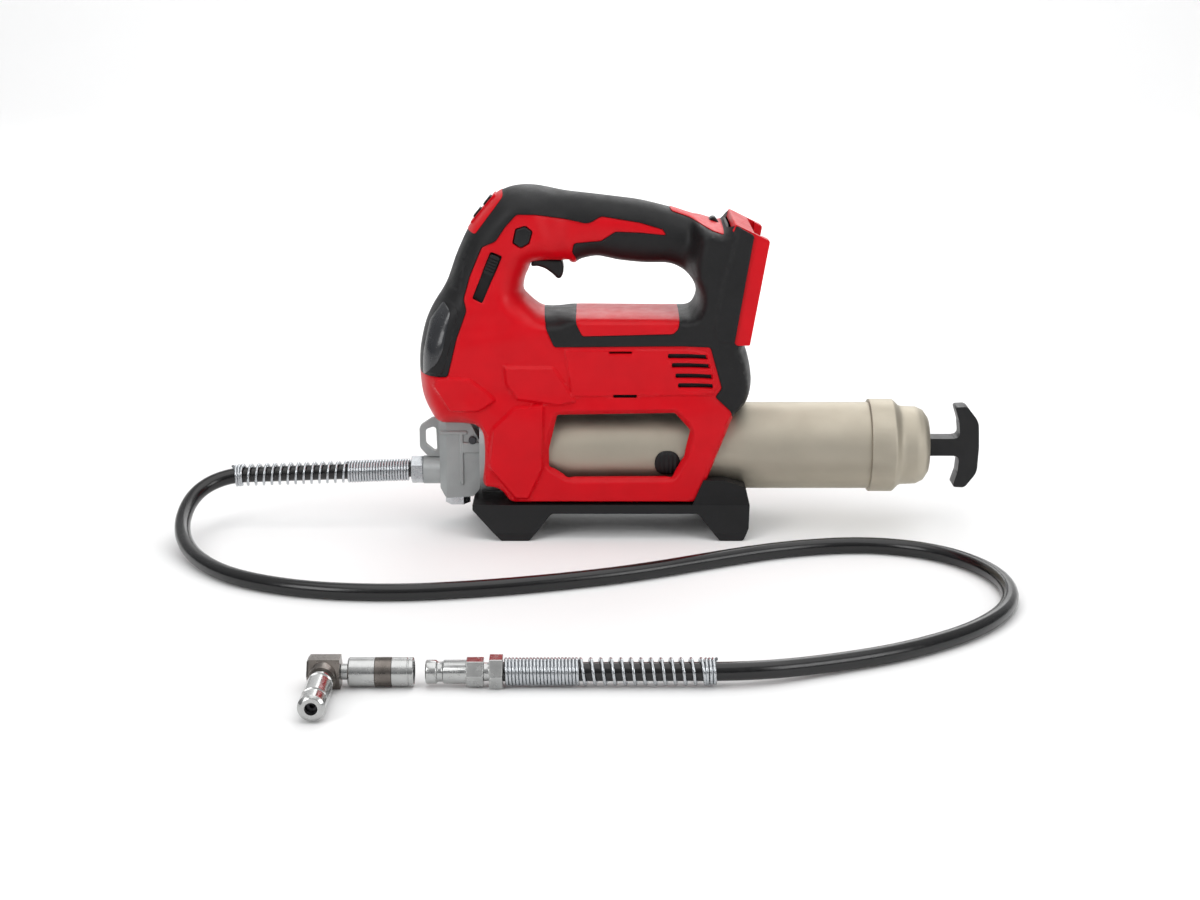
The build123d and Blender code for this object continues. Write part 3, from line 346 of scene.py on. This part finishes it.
INSERT = [(-79.8, 140), (-79, 137.5), (-75.8, 131.3), (-18.5, 132.7), (-15.4, 135.9), (-14.7, 140)]
WALL_END = [(31.0, 196.2), (19.6, 127.2)]          # where the battery bay begins

# outline, half width, rounding from the silhouette
ZONES = [([(-148, 60), (-185, 60), (-190, 126), (-176, 146), (-92, 152), (-92, 86), (-136, 86)],
          32, 15),
         ([(-150, 132), (-190, 130), (-172, 170), (-150, 235), (-96, 235), (-88, 176),
           (-92, 140)], 27, 17),
         ([(-110, 235), (-12, 235), (-8, 172), (-80, 168), (-96, 190)], 17.6, 18.5),
         ([(-4, 235), (80, 235), (80, 75), (16, 75), (4, 100), (-6, 128), (-12, 150),
           (-6, 172), (2, 190)], 38, 7),
         ([(-112, 86), (-112, 160), (0, 160), (2, 126), (14, 86)], 32, 5),
         ([(-150, 89), (-150, 12), (26, 12), (30, 89)], 35, 4.5)]
# outline, how far it stands out, width of its sloping edge
FACETS = [([(-171.8, 99.5), (-169.7, 105.5), (-147.1, 104.7), (-132.1, 93), (-130.2, 89.8),
            (-141.1, 82.6), (-160.4, 82)], 2.6, 1.8),
          ([(-119.7, 86.4), (-99.4, 88.4), (-100.2, 58.7), (-100.2, 46), (-110, 25.6),
            (-119.2, 25.6), (-136.6, 47.5), (-133.7, 73.1)], 2.8, 1.9),
          ([(-127.5, 121), (-124, 112.5), (-94, 112.5), (-88, 104), (-79, 88.6), (-91, 86.2),
            (-118, 90), (-125, 100)], 2.2, 2.0),
          ([(-88, 123.5), (-83, 92), (6.5, 92.8), (9.8, 98.6), (3.6, 121.8), (-6, 123.6)], 1.2,
           1.4),
          ([(-179, 107), (-178, 121), (-173.5, 141), (-163.5, 155), (-155.8, 150.8),
            (-153.8, 146.5), (-159.8, 122), (-164.3, 107)], 0.8, 0.8),
          ([(-155, 178), (-148.5, 193.5), (-143.8, 191.5), (-150.6, 173), (-153.6, 159),
            (-160.5, 160.5)], 0.8, 0.9),
          ([(20.4, 199), (13.7, 175.5), (8.8, 156.6), (5.5, 136), (8, 128), (70, 120), (70, 250),
            (24, 250)], 1.3, 2.4)]


def rounded(points, cut, steps=5):
    """A closed outline with each corner rounded from up to cut away."""
    made = []
    count = len(points)
    for i in range(count):
        before, here, after = (np.array(points[(i + k) % count], float) for k in (-1, 0, 1))
        back, ahead = before - here, after - here
        a = here + back * min(cut / np.linalg.norm(back), 0.46)
        b = here + ahead * min(cut / np.linalg.norm(ahead), 0.46)
        for k in range(steps + 1):
            t = k / steps
            made.append((1 - t) ** 2 * a + 2 * t * (1 - t) * here + t * t * b)
    return np.array(made)


def spaced(points, step):
    """The same closed outline, its long runs divided and its short ones thinned."""
    made = []
    for a, b in zip(points, np.roll(points, -1, 0)):
        parts = max(1, int(round(np.linalg.norm(b - a) / step)))
        for k in range(parts):
            p = a + (b - a) * k / parts
            if not made or np.linalg.norm(p - made[-1]) > 0.28:
                made.append(p)
    while np.linalg.norm(made[0] - made[-1]) < 0.28:
        made.pop()
    return np.array(made)


def distance(points, ring):
    """How far each point is from a closed outline."""
    best = np.full(len(points), 1e9)
    run = np.roll(ring, -1, 0) - ring
    size = np.maximum((run ** 2).sum(1), 1e-12)
    for k in range(0, len(ring), 64):
        gx = points[:, :1] - ring[None, k:k + 64, 0]
        gz = points[:, 1:] - ring[None, k:k + 64, 1]
        rx, rz = run[k:k + 64, 0], run[k:k + 64, 1]
        t = np.clip((gx * rx + gz * rz) / size[k:k + 64], 0, 1)
        best = np.minimum(best, ((gx - t * rx) ** 2 + (gz - t * rz) ** 2).min(1))
    return np.sqrt(best)


def across(loop):
    """Unit normals of a closed outline, in its own plane and all to one side."""
    tangent = np.roll(loop, -1, 0) - np.roll(loop, 1, 0)
    normal = np.stack([tangent[:, 1], -tangent[:, 0]], 1)
    return normal / np.linalg.norm(normal, axis=1)[:, None]


def inside(points, ring):
    """Which points lie inside a closed outline."""
    x, z = points[:, 0], points[:, 1]
    hit = np.zeros(len(points), bool)
    for a, b in zip(ring, np.roll(ring, -1, 0)):
        if a[1] != b[1]:
            crosses = (a[1] > z) != (b[1] > z)
            hit ^= crosses & (x < (b[0] - a[0]) * (z - a[1]) / (b[1] - a[1]) + a[0])
    return hit


def smooth(t):
    """A soft step from 0 to 1."""
    t = np.clip(t, 0, 1)
    return t * t * (3 - 2 * t)


LIP_DROP, LIP_WIDTH = 3.0, 3.4                     # how the skin turns in round the window
BLEND = 2.6                                        # how gradually one zone becomes the next
EDGE = spaced(rounded(SILHOUETTE, 7.0), 1.6)
HOLE = spaced(rounded(HAND, 4.0), 1.4)
WINDOW_RING = spaced(rounded(WINDOW, 4.0), 1.6)
FACET_RINGS = [(spaced(rounded(points, 2.0), 2.0), up, slope) for points, up, slope in FACETS]
ZONE_RINGS = [(np.array(points, float), half, turn) for points, half, turn in ZONES]


def rim_depth(points):
    """How far side-view points lie in from the silhouette, negative outside it."""
    edge = distance(points, EDGE) * np.where(inside(points, EDGE), 1, -1)
    hole = distance(points, HOLE) * np.where(inside(points, HOLE), -1, 1)
    return np.minimum(edge, hole)


def half_width(points):
    """The skin's distance from the middle plane at side-view points, all in mm."""
    weight, half, turn = 0, 0, 0
    for ring, zone_half, zone_turn in ZONE_RINGS:
        depth = distance(points, ring) * np.where(inside(points, ring), 1, -1)
        share = 1 / (1 + np.exp(-np.clip(depth / BLEND, -30, 30)))
        weight = weight + share
        half = half + share * zone_half
        turn = turn + share * zone_turn
    half, turn = half / weight, turn / weight
    rim = rim_depth(points)
    t = np.clip(rim / turn, 0, 1)
    round_off = np.sqrt(np.clip(1 - (1 - t) ** 2, 0, 1))
    made = half * round_off
    lip = distance(points, WINDOW_RING)
    made = made - LIP_DROP * (1 - smooth(lip / LIP_WIDTH))
    for ring, up, slope in FACET_RINGS:
        depth = distance(points, ring) * np.where(inside(points, ring), 1, 0)
        made = made + up * np.clip(depth / slope, 0, 1) * smooth(rim / 8)
    return np.maximum(made, 0)


def outward(points):
    """The skin's unit normals (x, out, z) at side-view points, from its slope."""
    reach = 0.2
    slope = []
    for way in ((reach, 0), (0, reach)):
        ahead, back = half_width(points + way), half_width(points - way)
        slope.append((ahead - back) / (2 * reach))
    normal = np.stack([-slope[0], np.ones(len(points)), -slope[1]], 1)
    return normal / np.linalg.norm(normal, axis=1)[:, None]


def skin(name, outline, finish, side, lift=0.0, holes=(), corner=1.6, wall=2.2, step=2.1,
         brow=0.7, body="housing", proud=0.0):
    """One moulded region of the housing's surface. side is -1 towards the camera and 1 away."""
    key = (str(outline), str(holes), lift, wall, step, corner, brow, proud)
    if key not in SHAPED:
        SHAPED[key] = shape_skin(outline, lift, holes, corner, wall, step, brow, proud)
    at, out, back, triangles = SHAPED[key]
    count = len(at)
    vertices = [(x * MM, side * y * MM, z * MM) for (x, z), y in zip(at, out)]
    vertices += [(x * MM, side * y * MM, z * MM) for x, y, z in back]
    faces, once = [], {}
    for triangle in triangles:
        order = [int(k) for k in (triangle if side < 0 else triangle[::-1])]
        faces.append(tuple(order))
        faces.append(tuple(count + k for k in order[::-1]))
        for k in range(3):
            pair = (order[k], order[(k + 1) % 3])
            if pair[::-1] in once:
                del once[pair[::-1]]
            else:
                once[pair] = True
    for a, b in once:
        faces.append((b, a, count + a, count + b))
    return piece(name, vertices, faces, finish, body, 38)


SHAPED = {}                # the skins' meshes, shared by the two sides
LEAST = 0.12               # the least half width, so that the two sides never touch
FINE_CELL = 0.42           # points nearer to each other than this are thinned


def shape_skin(outline, lift, holes, corner, wall, step, brow, proud):
    """A region's side-view points, their half widths, the wall's inner points and the triangles."""
    ring = spaced(rounded(outline, corner, 4), 1.5)
    rings = [spaced(rounded(hole, min(corner, 1.0), 3), 1.4) for hole in holes]
    loops = [ring] + rings + [EDGE, HOLE]
    edges, start = [], 0
    for loop in loops:
        count = len(loop)
        edges += [(start + k, start + (k + 1) % count) for k in range(count)]
        start += count
    borders = np.vstack(loops)
    fixed = [borders]

    def kept(candidates, clear, clear_rim):
        good = inside(candidates, ring)
        for hole in rings:
            good &= ~inside(candidates, hole)
        near = distance(candidates, ring)
        for hole in rings:
            near = np.minimum(near, distance(candidates, hole))
        rim = rim_depth(candidates)
        return candidates[good & (near > clear) & (rim > clear_rim)]

    for loop in [EDGE, HOLE]:
        normal = across(loop)
        for depth in (0.12, 0.5, 1.15, 2.1, 3.4):
            for way in (-1, 1):
                fixed.append(kept(loop + way * depth * normal, 0.1 if depth < 1 else 0.35,
                                  depth * 0.93))
    for loop in [ring] + rings:
        normal = across(loop)
        for depth in (0.22, brow):
            for way in (-1, 1):
                fixed.append(kept(loop + way * depth * normal, depth * 0.9, 0.6))
    for facet, up, slope in FACET_RINGS:
        normal = across(facet)
        turn = 1 if inside(facet + 0.05 * normal, facet).mean() > 0.5 else -1
        fixed.append(kept(facet, 0.9, 1.0))
        fixed.append(kept(facet + turn * slope * normal, 0.9, 1.0))
    normal = across(WINDOW_RING)
    for depth in (0.0, 1.1, 2.2, 3.2):               # over the window's lip
        for way in (-1, 1):
            fixed.append(kept(WINDOW_RING + way * depth * normal, 0.5, 1.0))
    low, high = ring.min(0), ring.max(0)
    rows = []
    for r, z in enumerate(np.arange(low[1], high[1], step * 0.87)):
        xs = np.arange(low[0] + (r % 2) * step / 2, high[0], step)
        rows.append(np.stack([xs, np.full(len(xs), z)], 1))
    grid = kept(np.vstack(rows), 1.0, 4.2)
    cells, thinned = set(), []
    for p in np.vstack(fixed[1:]):
        cell = (int(p[0] / FINE_CELL), int(p[1] / FINE_CELL))
        if cell not in cells:
            cells.add(cell)
            thinned.append(p)
    taken = {(int(x), int(z)) for x, z in thinned}
    grid = [p for p in grid if (int(p[0]), int(p[1])) not in taken]
    everything = np.vstack([borders] + [np.array(part) for part in (thinned, grid) if len(part)])
    found, _, triangles, _, _, _ = delaunay_2d_cdt([Vector(p) for p in everything], edges, [],
                                                   0, 1e-5)
    flat_points = np.array([tuple(v) for v in found])
    triangles = np.array([t for t in triangles if len(t) == 3])
    centres = flat_points[triangles].mean(1)
    good = inside(centres, ring) & (rim_depth(centres) > 0)
    for hole in rings:
        good &= ~inside(centres, hole)
    triangles = triangles[good]
    depth = half_width(flat_points)
    border = distance(flat_points, ring)
    for hole in rings:
        border = np.minimum(border, distance(flat_points, hole))
    rim = rim_depth(flat_points)
    brow_shape = np.sqrt(np.clip(1 - (1 - np.clip(border / brow, 0, 1)) ** 2, 0, 1))
    depth = depth + (lift - 0.5 * (1 - brow_shape)) * smooth(rim / 3.5)
    depth = np.maximum(depth, LEAST)
    used = np.unique(triangles)
    at, out = flat_points[used], depth[used]
    normal = outward(at)
    at = at + normal[:, ::2] * proud
    out = np.maximum(out + normal[:, 1] * proud, LEAST)
    back = np.stack([at[:, 0] - normal[:, 0] * wall,
                     np.maximum(out - normal[:, 1] * wall, LEAST),
                     at[:, 1] - normal[:, 2] * wall], 1)
    ordered = []
    for a, b, c in np.searchsorted(used, triangles):
        run, next_run = at[b] - at[a], at[c] - at[a]
        left = run[0] * next_run[1] - run[1] * next_run[0] > 0
        ordered.append((a, b, c) if left else (a, c, b))
    return at, out, back, ordered


def cut_away(target, name, size, place, turned_by=None, round_tool=False):
    """A box or a cylinder is taken out of a piece."""
    mesh = bpy.data.meshes.new(name)
    tool = bmesh.new()
    if round_tool:
        bmesh.ops.create_cone(tool, cap_ends=True, segments=96, radius1=size[0], radius2=size[0],
                              depth=size[1])
    else:
        bmesh.ops.create_cube(tool, size=1.0)
        bmesh.ops.scale(tool, vec=size, verts=tool.verts)
    if turned_by:
        bmesh.ops.rotate(tool, cent=(0, 0, 0), matrix=turned_by, verts=tool.verts)
    bmesh.ops.translate(tool, vec=place, verts=tool.verts)
    tool.to_mesh(mesh)
    tool.free()
    cutter = bpy.data.objects.new(name, mesh)
    bpy.context.scene.collection.objects.link(cutter)
    change = target.modifiers.new("cut", "BOOLEAN")
    change.operation = "DIFFERENCE"
    change.solver = "EXACT"
    change.object = cutter
    applied(target, 38)
    bpy.data.objects.remove(cutter)


# The outlines run past the silhouette and into the hand hole, and the skin is clipped there.
RED_BODY = ([(-195, 105.3)] + SPLIT + [(-79.6, 176.9), (-79.2, 171), (-92, 165), (-104, 158),
            (-100.5, 146)] + BAND_TOP + BUMPER[1:] + [(32, 72), (16, 10), (-195, 10)])
BLACK_BODY = ([(-195, 105.3), (-195, 240), (10, 240), (14.2, 199.2), (19.5, 202.4)] + WALL_END
              + [(25.6, 125.0), (40, 118), (40, 72), (22, 72)] + BUMPER[::-1][:-1]
              + BAND_TOP[::-1] + [(-100.5, 146), (-100.5, 150), (-79.9, 150)] + INSERT
              + [(-14.6, 150), (-14, 160), (-60, 166), (-79.2, 171), (-79.6, 176.9)]
              + SPLIT[::-1])
INSERT_BODY = [(-79.9, 150)] + INSERT + [(-14.6, 150)]
PANEL_SIDE = [(-133, 226), (-126.2, 219.5), (-125.9, 217.2), (-143.2, 194.2), (-154, 197.5)]
TOP_STRIP = [(-23, 214), (-19.6, 207.4), (-2, 201.4), (6, 197.6), (12.6, 195.6), (12.6, 207)]

bpy.context.view_layer.update()
VENTS = [[(x0, z - 1.5), (x0, z + 1.5), (x1, z + 1.5), (x1, z - 1.5)]
         for x0, x1, z in ((-21.8, 3.2, 118.7), (-19.3, 4.9, 112.8), (-16.9, 6.6, 106),
                           (-15.2, 6.6, 99.8))]
VENTS += [[(-59, 120.2), (-59, 121.8), (-44.5, 121.8), (-44.5, 120.2)],
          [(-56.4, 91.8), (-56.4, 93.8), (-41.2, 93.8), (-41.2, 91.8)]]
SLOT = [(-133.3, 184.2), (-126.1, 181.3), (-139.0, 151.6), (-145.3, 154.5)]
LOCK = [(-119.6, 189.6), (-117.6, 198.6), (-111.5, 200.6), (-106.9, 197), (-109, 189.3),
        (-114.3, 186.2)]


def scaled(outline, by):
    """An outline scaled about its middle."""
    middle = np.mean(np.array(outline, float), 0)
    return [tuple(middle + (np.array(p) - middle) * by) for p in outline]


SCREWS = [(-171, 101), (-153, 170), (-122, 212), (-24, 200), (9, 176), (8, 138), (19, 95)]


def circle(x, z, radius, count=16):
    """A round outline."""
    return [(x + radius * math.cos(2 * math.pi * k / count),
             z + radius * math.sin(2 * math.pi * k / count)) for k in range(count)]


def holes_in(outline, candidates):
    """The openings that lie wholly inside an outline."""
    ring = np.array(outline, float)
    return [hole for hole in candidates if inside(np.array(hole, float), ring).all()]


for side, hand in ((-1, "left"), (1, "right")):
    openings = VENTS + [WINDOW, SLOT, LOCK]
    if side > 0:
        openings = openings + [circle(x, z, 3.9) for x, z in SCREWS]
    red = skin("body_red_" + hand, RED_BODY, RED, side,
               holes=holes_in(RED_BODY, openings))
    black = skin("body_rubber_" + hand, BLACK_BODY, RUBBER, side, lift=0.9,
                 holes=holes_in(BLACK_BODY, openings))
    skin("body_insert_" + hand, INSERT_BODY, RED, side, lift=0.75)
    skin("panel_side_" + hand, PANEL_SIDE, RED, side, lift=0.9, proud=0.35,
         wall=1.6)
    skin("top_strip_" + hand, TOP_STRIP, RED, side, lift=0.9, proud=0.5,
         wall=1.6)
    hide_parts("housing_" + hand)
    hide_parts("grip_overmold_" + hand)
    cut_away(red, "barrel_way", (28.9 * MM, 170 * MM), (-50 * MM, 0, 53 * MM),
             Matrix.Rotation(math.pi / 2, 3, "Y"), True)
    cut_away(red, "trigger_way", (25 * MM, 18 * MM, 16 * MM), (-96.6 * MM, 0, 175 * MM))

# ------------------------------------------------------------------ what lies behind the openings
VENT_BACK = [(-64, 124.5), (-64, 89), (7.5, 89), (10.5, 97.5), (5, 124.5)]
SLOT_BACK = [(-134.6, 186.6), (-123.9, 182.2), (-137.9, 149.4), (-147.2, 153.2)]
GLOSS_PANEL = [(-176.9, 104.8), (-176.6, 119), (-172.4, 139.6), (-163.4, 152.0), (-158.6, 146.2),
               (-163.8, 122.2), (-167.2, 114.4)]
for side, hand in ((-1, "left"), (1, "right")):
    skin("vent_baffle_" + hand, VENT_BACK, BLACK, side, lift=-4.2, wall=1.0,
         step=4.0)
    skin("slot_pan_" + hand, SLOT_BACK, BLACK, side, lift=-4.4, wall=1.0,
         step=3.0)
    skin("lock_well_" + hand, scaled(LOCK, 1.35), BLACK, side, lift=-3.4,
         holes=[scaled(LOCK, 0.96)], wall=1.0, step=3.0)
    skin("front_gloss_" + hand, GLOSS_PANEL, GLOSS, side, lift=0.9, proud=0.55,
         wall=1.4, corner=2.2, brow=1.0)


def blade(name, outline, half, finish, body, edge=1.2, corner=1.5, middle=0.0):
    """A plate with a rounded rim, its outline seen from the side in mm and its middle at y."""
    ring = spaced(rounded(outline, corner, 5), 1.2)
    normal = across(ring)
    if inside(ring + 0.02 * normal, ring).mean() < 0.5:
        normal = -normal
    count = len(ring)
    levels = [(edge * (1 - math.sin(k / 4 * math.pi / 2)),
               -(half - edge * (1 - math.cos(k / 4 * math.pi / 2)))) for k in range(5)]
    levels += [(inset, -y) for inset, y in levels[::-1]]
    vertices, faces = [], []
    for inset, y in levels:
        for q in ring + normal * inset:
            vertices.append((q[0] * MM, (y + middle) * MM, q[1] * MM))
    for k in range(len(levels) - 1):
        for j in range(count):
            n = (j + 1) % count
            faces.append((k * count + j, k * count + n, (k + 1) * count + n, (k + 1) * count + j))
    inner = ring + normal * edge
    _, _, caps, _, _, _ = delaunay_2d_cdt([Vector(q) for q in inner],
                                          [(j, (j + 1) % count) for j in range(count)], [], 1,
                                          1e-6)
    last = (len(levels) - 1) * count
    faces += [tuple(c) for c in caps]
    faces += [tuple(last + k for k in c[::-1]) for c in caps]
    made = piece(name, vertices, faces, finish, body, 40)
    tidy = bmesh.new()
    tidy.from_mesh(made.data)
    bmesh.ops.recalc_face_normals(tidy, faces=tidy.faces)
    tidy.to_mesh(made.data)
    tidy.free()
    return made


TRIGGER = [(-108.4, 178.5), (-108.8, 171.4), (-104.7, 172.0), (-99.4, 170.2), (-94.6, 166.6),
           (-91.8, 163.6), (-89.4, 164.3), (-87.8, 168.2), (-87.9, 172.4), (-89.5, 176.5)]
trigger_blade = blade("trigger_blade", TRIGGER, 7.6, BLACK, "trigger", 2.4, 2.0)
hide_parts("trigger")

lock_face = half_width(np.array([[-113.2, 193.5]]))[0]
lock_bar = blade("lock_bar", scaled(LOCK, 0.93), lock_face + 0.9, BLACK,
                 "lock_button", 1.3, 1.0)
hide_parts("lock_off_button")

LATCH = [(2.6, 197), (3.2, 199.6), (4.8, 201.8), (6.4, 203.2), (8.4, 203), (10.6, 199.8), (11, 197)]
blade("latch_bump", LATCH, 4.6, BLACK, "housing", 0.9, 0.8)

# Raised details on both faces of the die-cast head
for side, hand in ((-1, "left"), (1, "right")):
    blade("head_ledge_" + hand, [(-168.6, 63.6), (-168.6, 66), (-150.4, 66), (-150.4, 63.6)], 1.0,
          CAST, "housing", 0.5, 0.6, middle=15.1 * side)
    blade("head_rib_" + hand, [(-155.6, 30), (-155.6, 64.4), (-153, 64.4), (-153, 30)], 1.1, CAST,
          "housing", 0.6, 0.6, middle=15.0 * side)
    blade("head_boss_" + hand, [(-154, 51.5), (-154, 58.5), (-142, 58.5), (-142, 51.5)], 1.5, CAST,
          "housing", 0.8, 1.4, middle=15.0 * side)

# ------------------------------------------------------------------ couplers and barrel window pad
def knurled(name, profile, band, finish, body, origin, axis, sides=96, cut=0.22):
    """A solid of revolution whose band of the profile, by index, is cut in crossing lines."""
    made = turned(name, profile, finish, body, origin, axis, sides, 28)
    ahead = Vector(axis).normalized()
    start = Vector(origin) * MM
    for vertex in made.data.vertices:
        ring, j = divmod(vertex.index, sides)
        if band[0] <= ring <= band[1]:
            phase = (ring % 2 + j) % 2
            line = start + ahead * (vertex.co - start).dot(ahead)
            out = (vertex.co - line).normalized()
            vertex.co -= out * (cut * phase * MM)
    ring = bmesh.new()
    ring.from_mesh(made.data)
    ends = [face for face in ring.faces if len(face.verts) > 4]
    bmesh.ops.delete(ring, geom=ends, context="FACES_ONLY")
    ring.to_mesh(made.data)
    ring.free()
    return made


SLEEVE = [(21, 1.7), (21, 6.4), (0.3, 6.4), (0, 6.6), (0, 7.1), (0.5, 7.55), (2.4, 7.55),
          (2.7, 7.3), (3.1, 7.3), (3.4, 7.55), (11.2, 7.55), (11.5, 7.1), (19.9, 7.1),
          (20.2, 7.55), (33.2, 7.55), (34.0, 7.0), (34.0, 4.2), (37.6, 4.2)]
MOUTH = (-161, -308, 8.05)                         # the sleeve's open end
sleeve_piece = turned("sleeve_barrel", SLEEVE, CHROME, "coupler_sleeve", MOUTH,
                      (-1, 0, 0), 64, 28)
KNURL = [(11.5, 7.0)] + [(11.6 + 0.46 * k, 7.58) for k in range(19)] + [(20.0, 7.0)]
knurled("sleeve_knurl", KNURL, (1, 19), STEEL, "coupler_sleeve", MOUTH, (-1, 0, 0),
        100, 0.34)
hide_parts("elbow_sleeve")

nozzle_low, nozzle_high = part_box("nozzle")
NOZZLE_Z = (nozzle_low.z + nozzle_high.z) / 2 / MM
NOZZLE_R = (nozzle_high.x - nozzle_low.x) / 2 / MM
reach = (nozzle_high.y - nozzle_low.y) / MM
NOZZLE = [(0, NOZZLE_R - 1.6), (3, NOZZLE_R - 1.6), (3.6, NOZZLE_R - 0.4), (5.2, NOZZLE_R - 0.4),
          (5.8, NOZZLE_R - 1.2), (8.0, NOZZLE_R - 1.2), (8.6, NOZZLE_R - 0.1),
          (reach - 12.6, NOZZLE_R - 0.1), (reach - 12.2, NOZZLE_R - 0.7),
          (reach - 10.4, NOZZLE_R - 0.7), (reach - 10.0, NOZZLE_R), (reach - 1.6, NOZZLE_R),
          (reach - 0.3, NOZZLE_R - 1.2), (reach, NOZZLE_R - 1.7), (reach, 3.3), (reach - 11, 3.3)]
nozzle_piece = turned("nozzle_jaws", NOZZLE, CHROME, "elbow",
                      (-207.5, nozzle_high.y / MM, NOZZLE_Z), (0, -1, 0), 64, 30)
turned("nozzle_core", [(reach - 11.2, 3.25), (reach - 5.5, 3.25), (reach - 5.2, 2.9),
                       (reach - 5.2, 1.5), (reach - 8, 1.4)], DARK, "elbow",
       (-207.5, nozzle_high.y / MM, NOZZLE_Z), (0, -1, 0), 48, 30)
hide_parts("nozzle")


def window_pad():
    """A small ribbed pad of rubber that lies round the barrel in the cage's window."""
    across_count, down_count = 64, 22
    vertices, faces = [], []
    for i in range(across_count + 1):
        for j in range(down_count + 1):
            u, v = 2 * i / across_count - 1, 2 * j / down_count - 1
            reach_v = math.sqrt(max(0, 1 - abs(u) ** 2.6))
            x = -21.5 + 8.2 * u
            angle = math.radians(-11 + 17 * v * reach_v)
            rib = 0.55 * (0.5 + 0.5 * math.cos(u * 6 * math.pi))
            edge = min(1, 4 * (1 - abs(v))) * min(1, 6 * (1 - abs(u)))
            r = 28.75 + edge * (0.6 + rib)
            vertices.append((x * MM, -r * math.cos(angle) * MM, (53 + r * math.sin(angle)) * MM))
    for i in range(across_count):
        for j in range(down_count):
            a = i * (down_count + 1) + j
            faces.append((a, a + down_count + 1, a + down_count + 2, a + 1))
    return piece("window_pad", vertices, faces, RUBBER, "housing", 40)


window_pad()

# ------------------------------------------------------------------ CAD nodes keep their shape
BEVELS = {"base_stand": 1.0, "battery_bay": 0.7, "pump_head": 0.9, "control_panel": 0.4,
          "t_handle": 0.9, "outlet_nut": 0.4, "coupler_fitting": 0.3, "elbow_body": 0.5,
          "nozzle": 0.3, "terminal_block": 0.4, "head_plug": 0.4, "speed_selector": 0.3,
          "panel_button_upper": 0.5, "panel_button_lower": 0.5, "barrel_end_cap": 0.5}
FINISHES = {"elbow_sleeve": CHROME, "elbow_body": STEEL, "nozzle": CHROME, "head_plug": ZINC,
            "outlet_nut": ZINC, "coupler_fitting": CHROME, "bleed_valve": DARK}
for name, node in nodes.items():
    made = FINISHES.get(name)
    if made is None and node.data.materials and node.data.materials[0]:
        made = BY_SLOT.get(node.data.materials[0].name.split(".")[0])
    made = made or GEAR
    if node.data.materials:
        node.data.materials[0] = made
    else:
        node.data.materials.append(made)
    if name in BEVELS:
        weld = node.modifiers.new("weld", "WELD")
        weld.merge_threshold = 1e-6
        bevel = node.modifiers.new("bevel", "BEVEL")
        bevel.width = BEVELS[name] * MM
        bevel.segments = 2
        bevel.limit_method = "ANGLE"
        bevel.angle_limit = math.radians(35)
        bevel.harden_normals = True

# ------------------------------------------------------------------ floor, backdrop and light
def studio():
    """A pale floor that curves up into a backdrop."""
    floor_mesh = bpy.data.meshes.new("studio_floor")
    reach, depth, height = 6.0, 3.0, 4.0
    rows = [(-4.0, -0.0002), (depth, -0.0002)]
    for k in range(1, 11):
        a = k / 10 * math.pi / 2
        rows.append((depth + 1.2 * math.sin(a), 1.2 * (1 - math.cos(a))))
    rows.append((depth + 1.2, height))
    points = [(x, y, z) for y, z in rows for x in (-reach, reach)]
    quads = [(2 * k, 2 * k + 1, 2 * k + 3, 2 * k + 2) for k in range(len(rows) - 1)]
    floor_mesh.from_pydata(points, [], quads)
    floor_mesh.shade_smooth()
    paint = bpy.data.materials.new("studio_paper")
    paint.use_nodes = True
    paint.node_tree.nodes["Principled BSDF"].inputs["Base Color"].default_value = (0.9, 0.9, 0.9, 1)
    paint.node_tree.nodes["Principled BSDF"].inputs["Roughness"].default_value = 0.9
    floor_mesh.materials.append(paint)
    floor = bpy.data.objects.new("studio_floor", floor_mesh)
    bpy.context.scene.collection.objects.link(floor)


def lamp(name, size, power, place, aim):
    """A square soft light at place, turned to aim."""
    light = bpy.data.lights.new(name, "AREA")
    light.shape = "RECTANGLE"
    light.size = size
    light.size_y = size
    light.energy = power
    made = bpy.data.objects.new(name, light)
    bpy.context.scene.collection.objects.link(made)
    made.location = place
    made.rotation_euler = (Vector(aim) - Vector(place)).to_track_quat("-Z", "Y").to_euler()


studio()
lamp("top_soft", 2.0, 15, (0.1, -0.2, 1.7), (0, 0, 0.05))
lamp("front_left", 1.0, 12.5, (-1.3, -1.5, 1.1), (-0.05, 0, 0.1))
lamp("front_right", 0.9, 9, (1.5, -1.2, 0.8), (0.05, 0, 0.08))
lamp("backdrop_wash", 3.0, 70, (0, 1.6, 2.6), (0, 4.2, 1.0))
lamp("rear_rim", 1.2, 9, (0.3, 1.4, 1.2), (0, 0, 0.12))
world = bpy.data.worlds.new("studio_world")
bpy.context.scene.world = world
world.use_nodes = True
sky = world.node_tree
heading = sky.nodes.new("ShaderNodeTexCoord")
parts = sky.nodes.new("ShaderNodeSeparateXYZ")
shade = sky.nodes.new("ShaderNodeValToRGB")
shade.color_ramp.elements[0].position = 0.05
shade.color_ramp.elements[0].color = (0.22, 0.23, 0.24, 1)
shade.color_ramp.elements[1].position = 0.75
shade.color_ramp.elements[1].color = (1, 1, 1, 1)
sky.links.new(heading.outputs["Generated"], parts.inputs["Vector"])
sky.links.new(parts.outputs["Z"], shade.inputs["Fac"])
sky.links.new(shade.outputs["Color"], sky.nodes["Background"].inputs["Color"])
sky.nodes["Background"].inputs["Strength"].default_value = 0.62
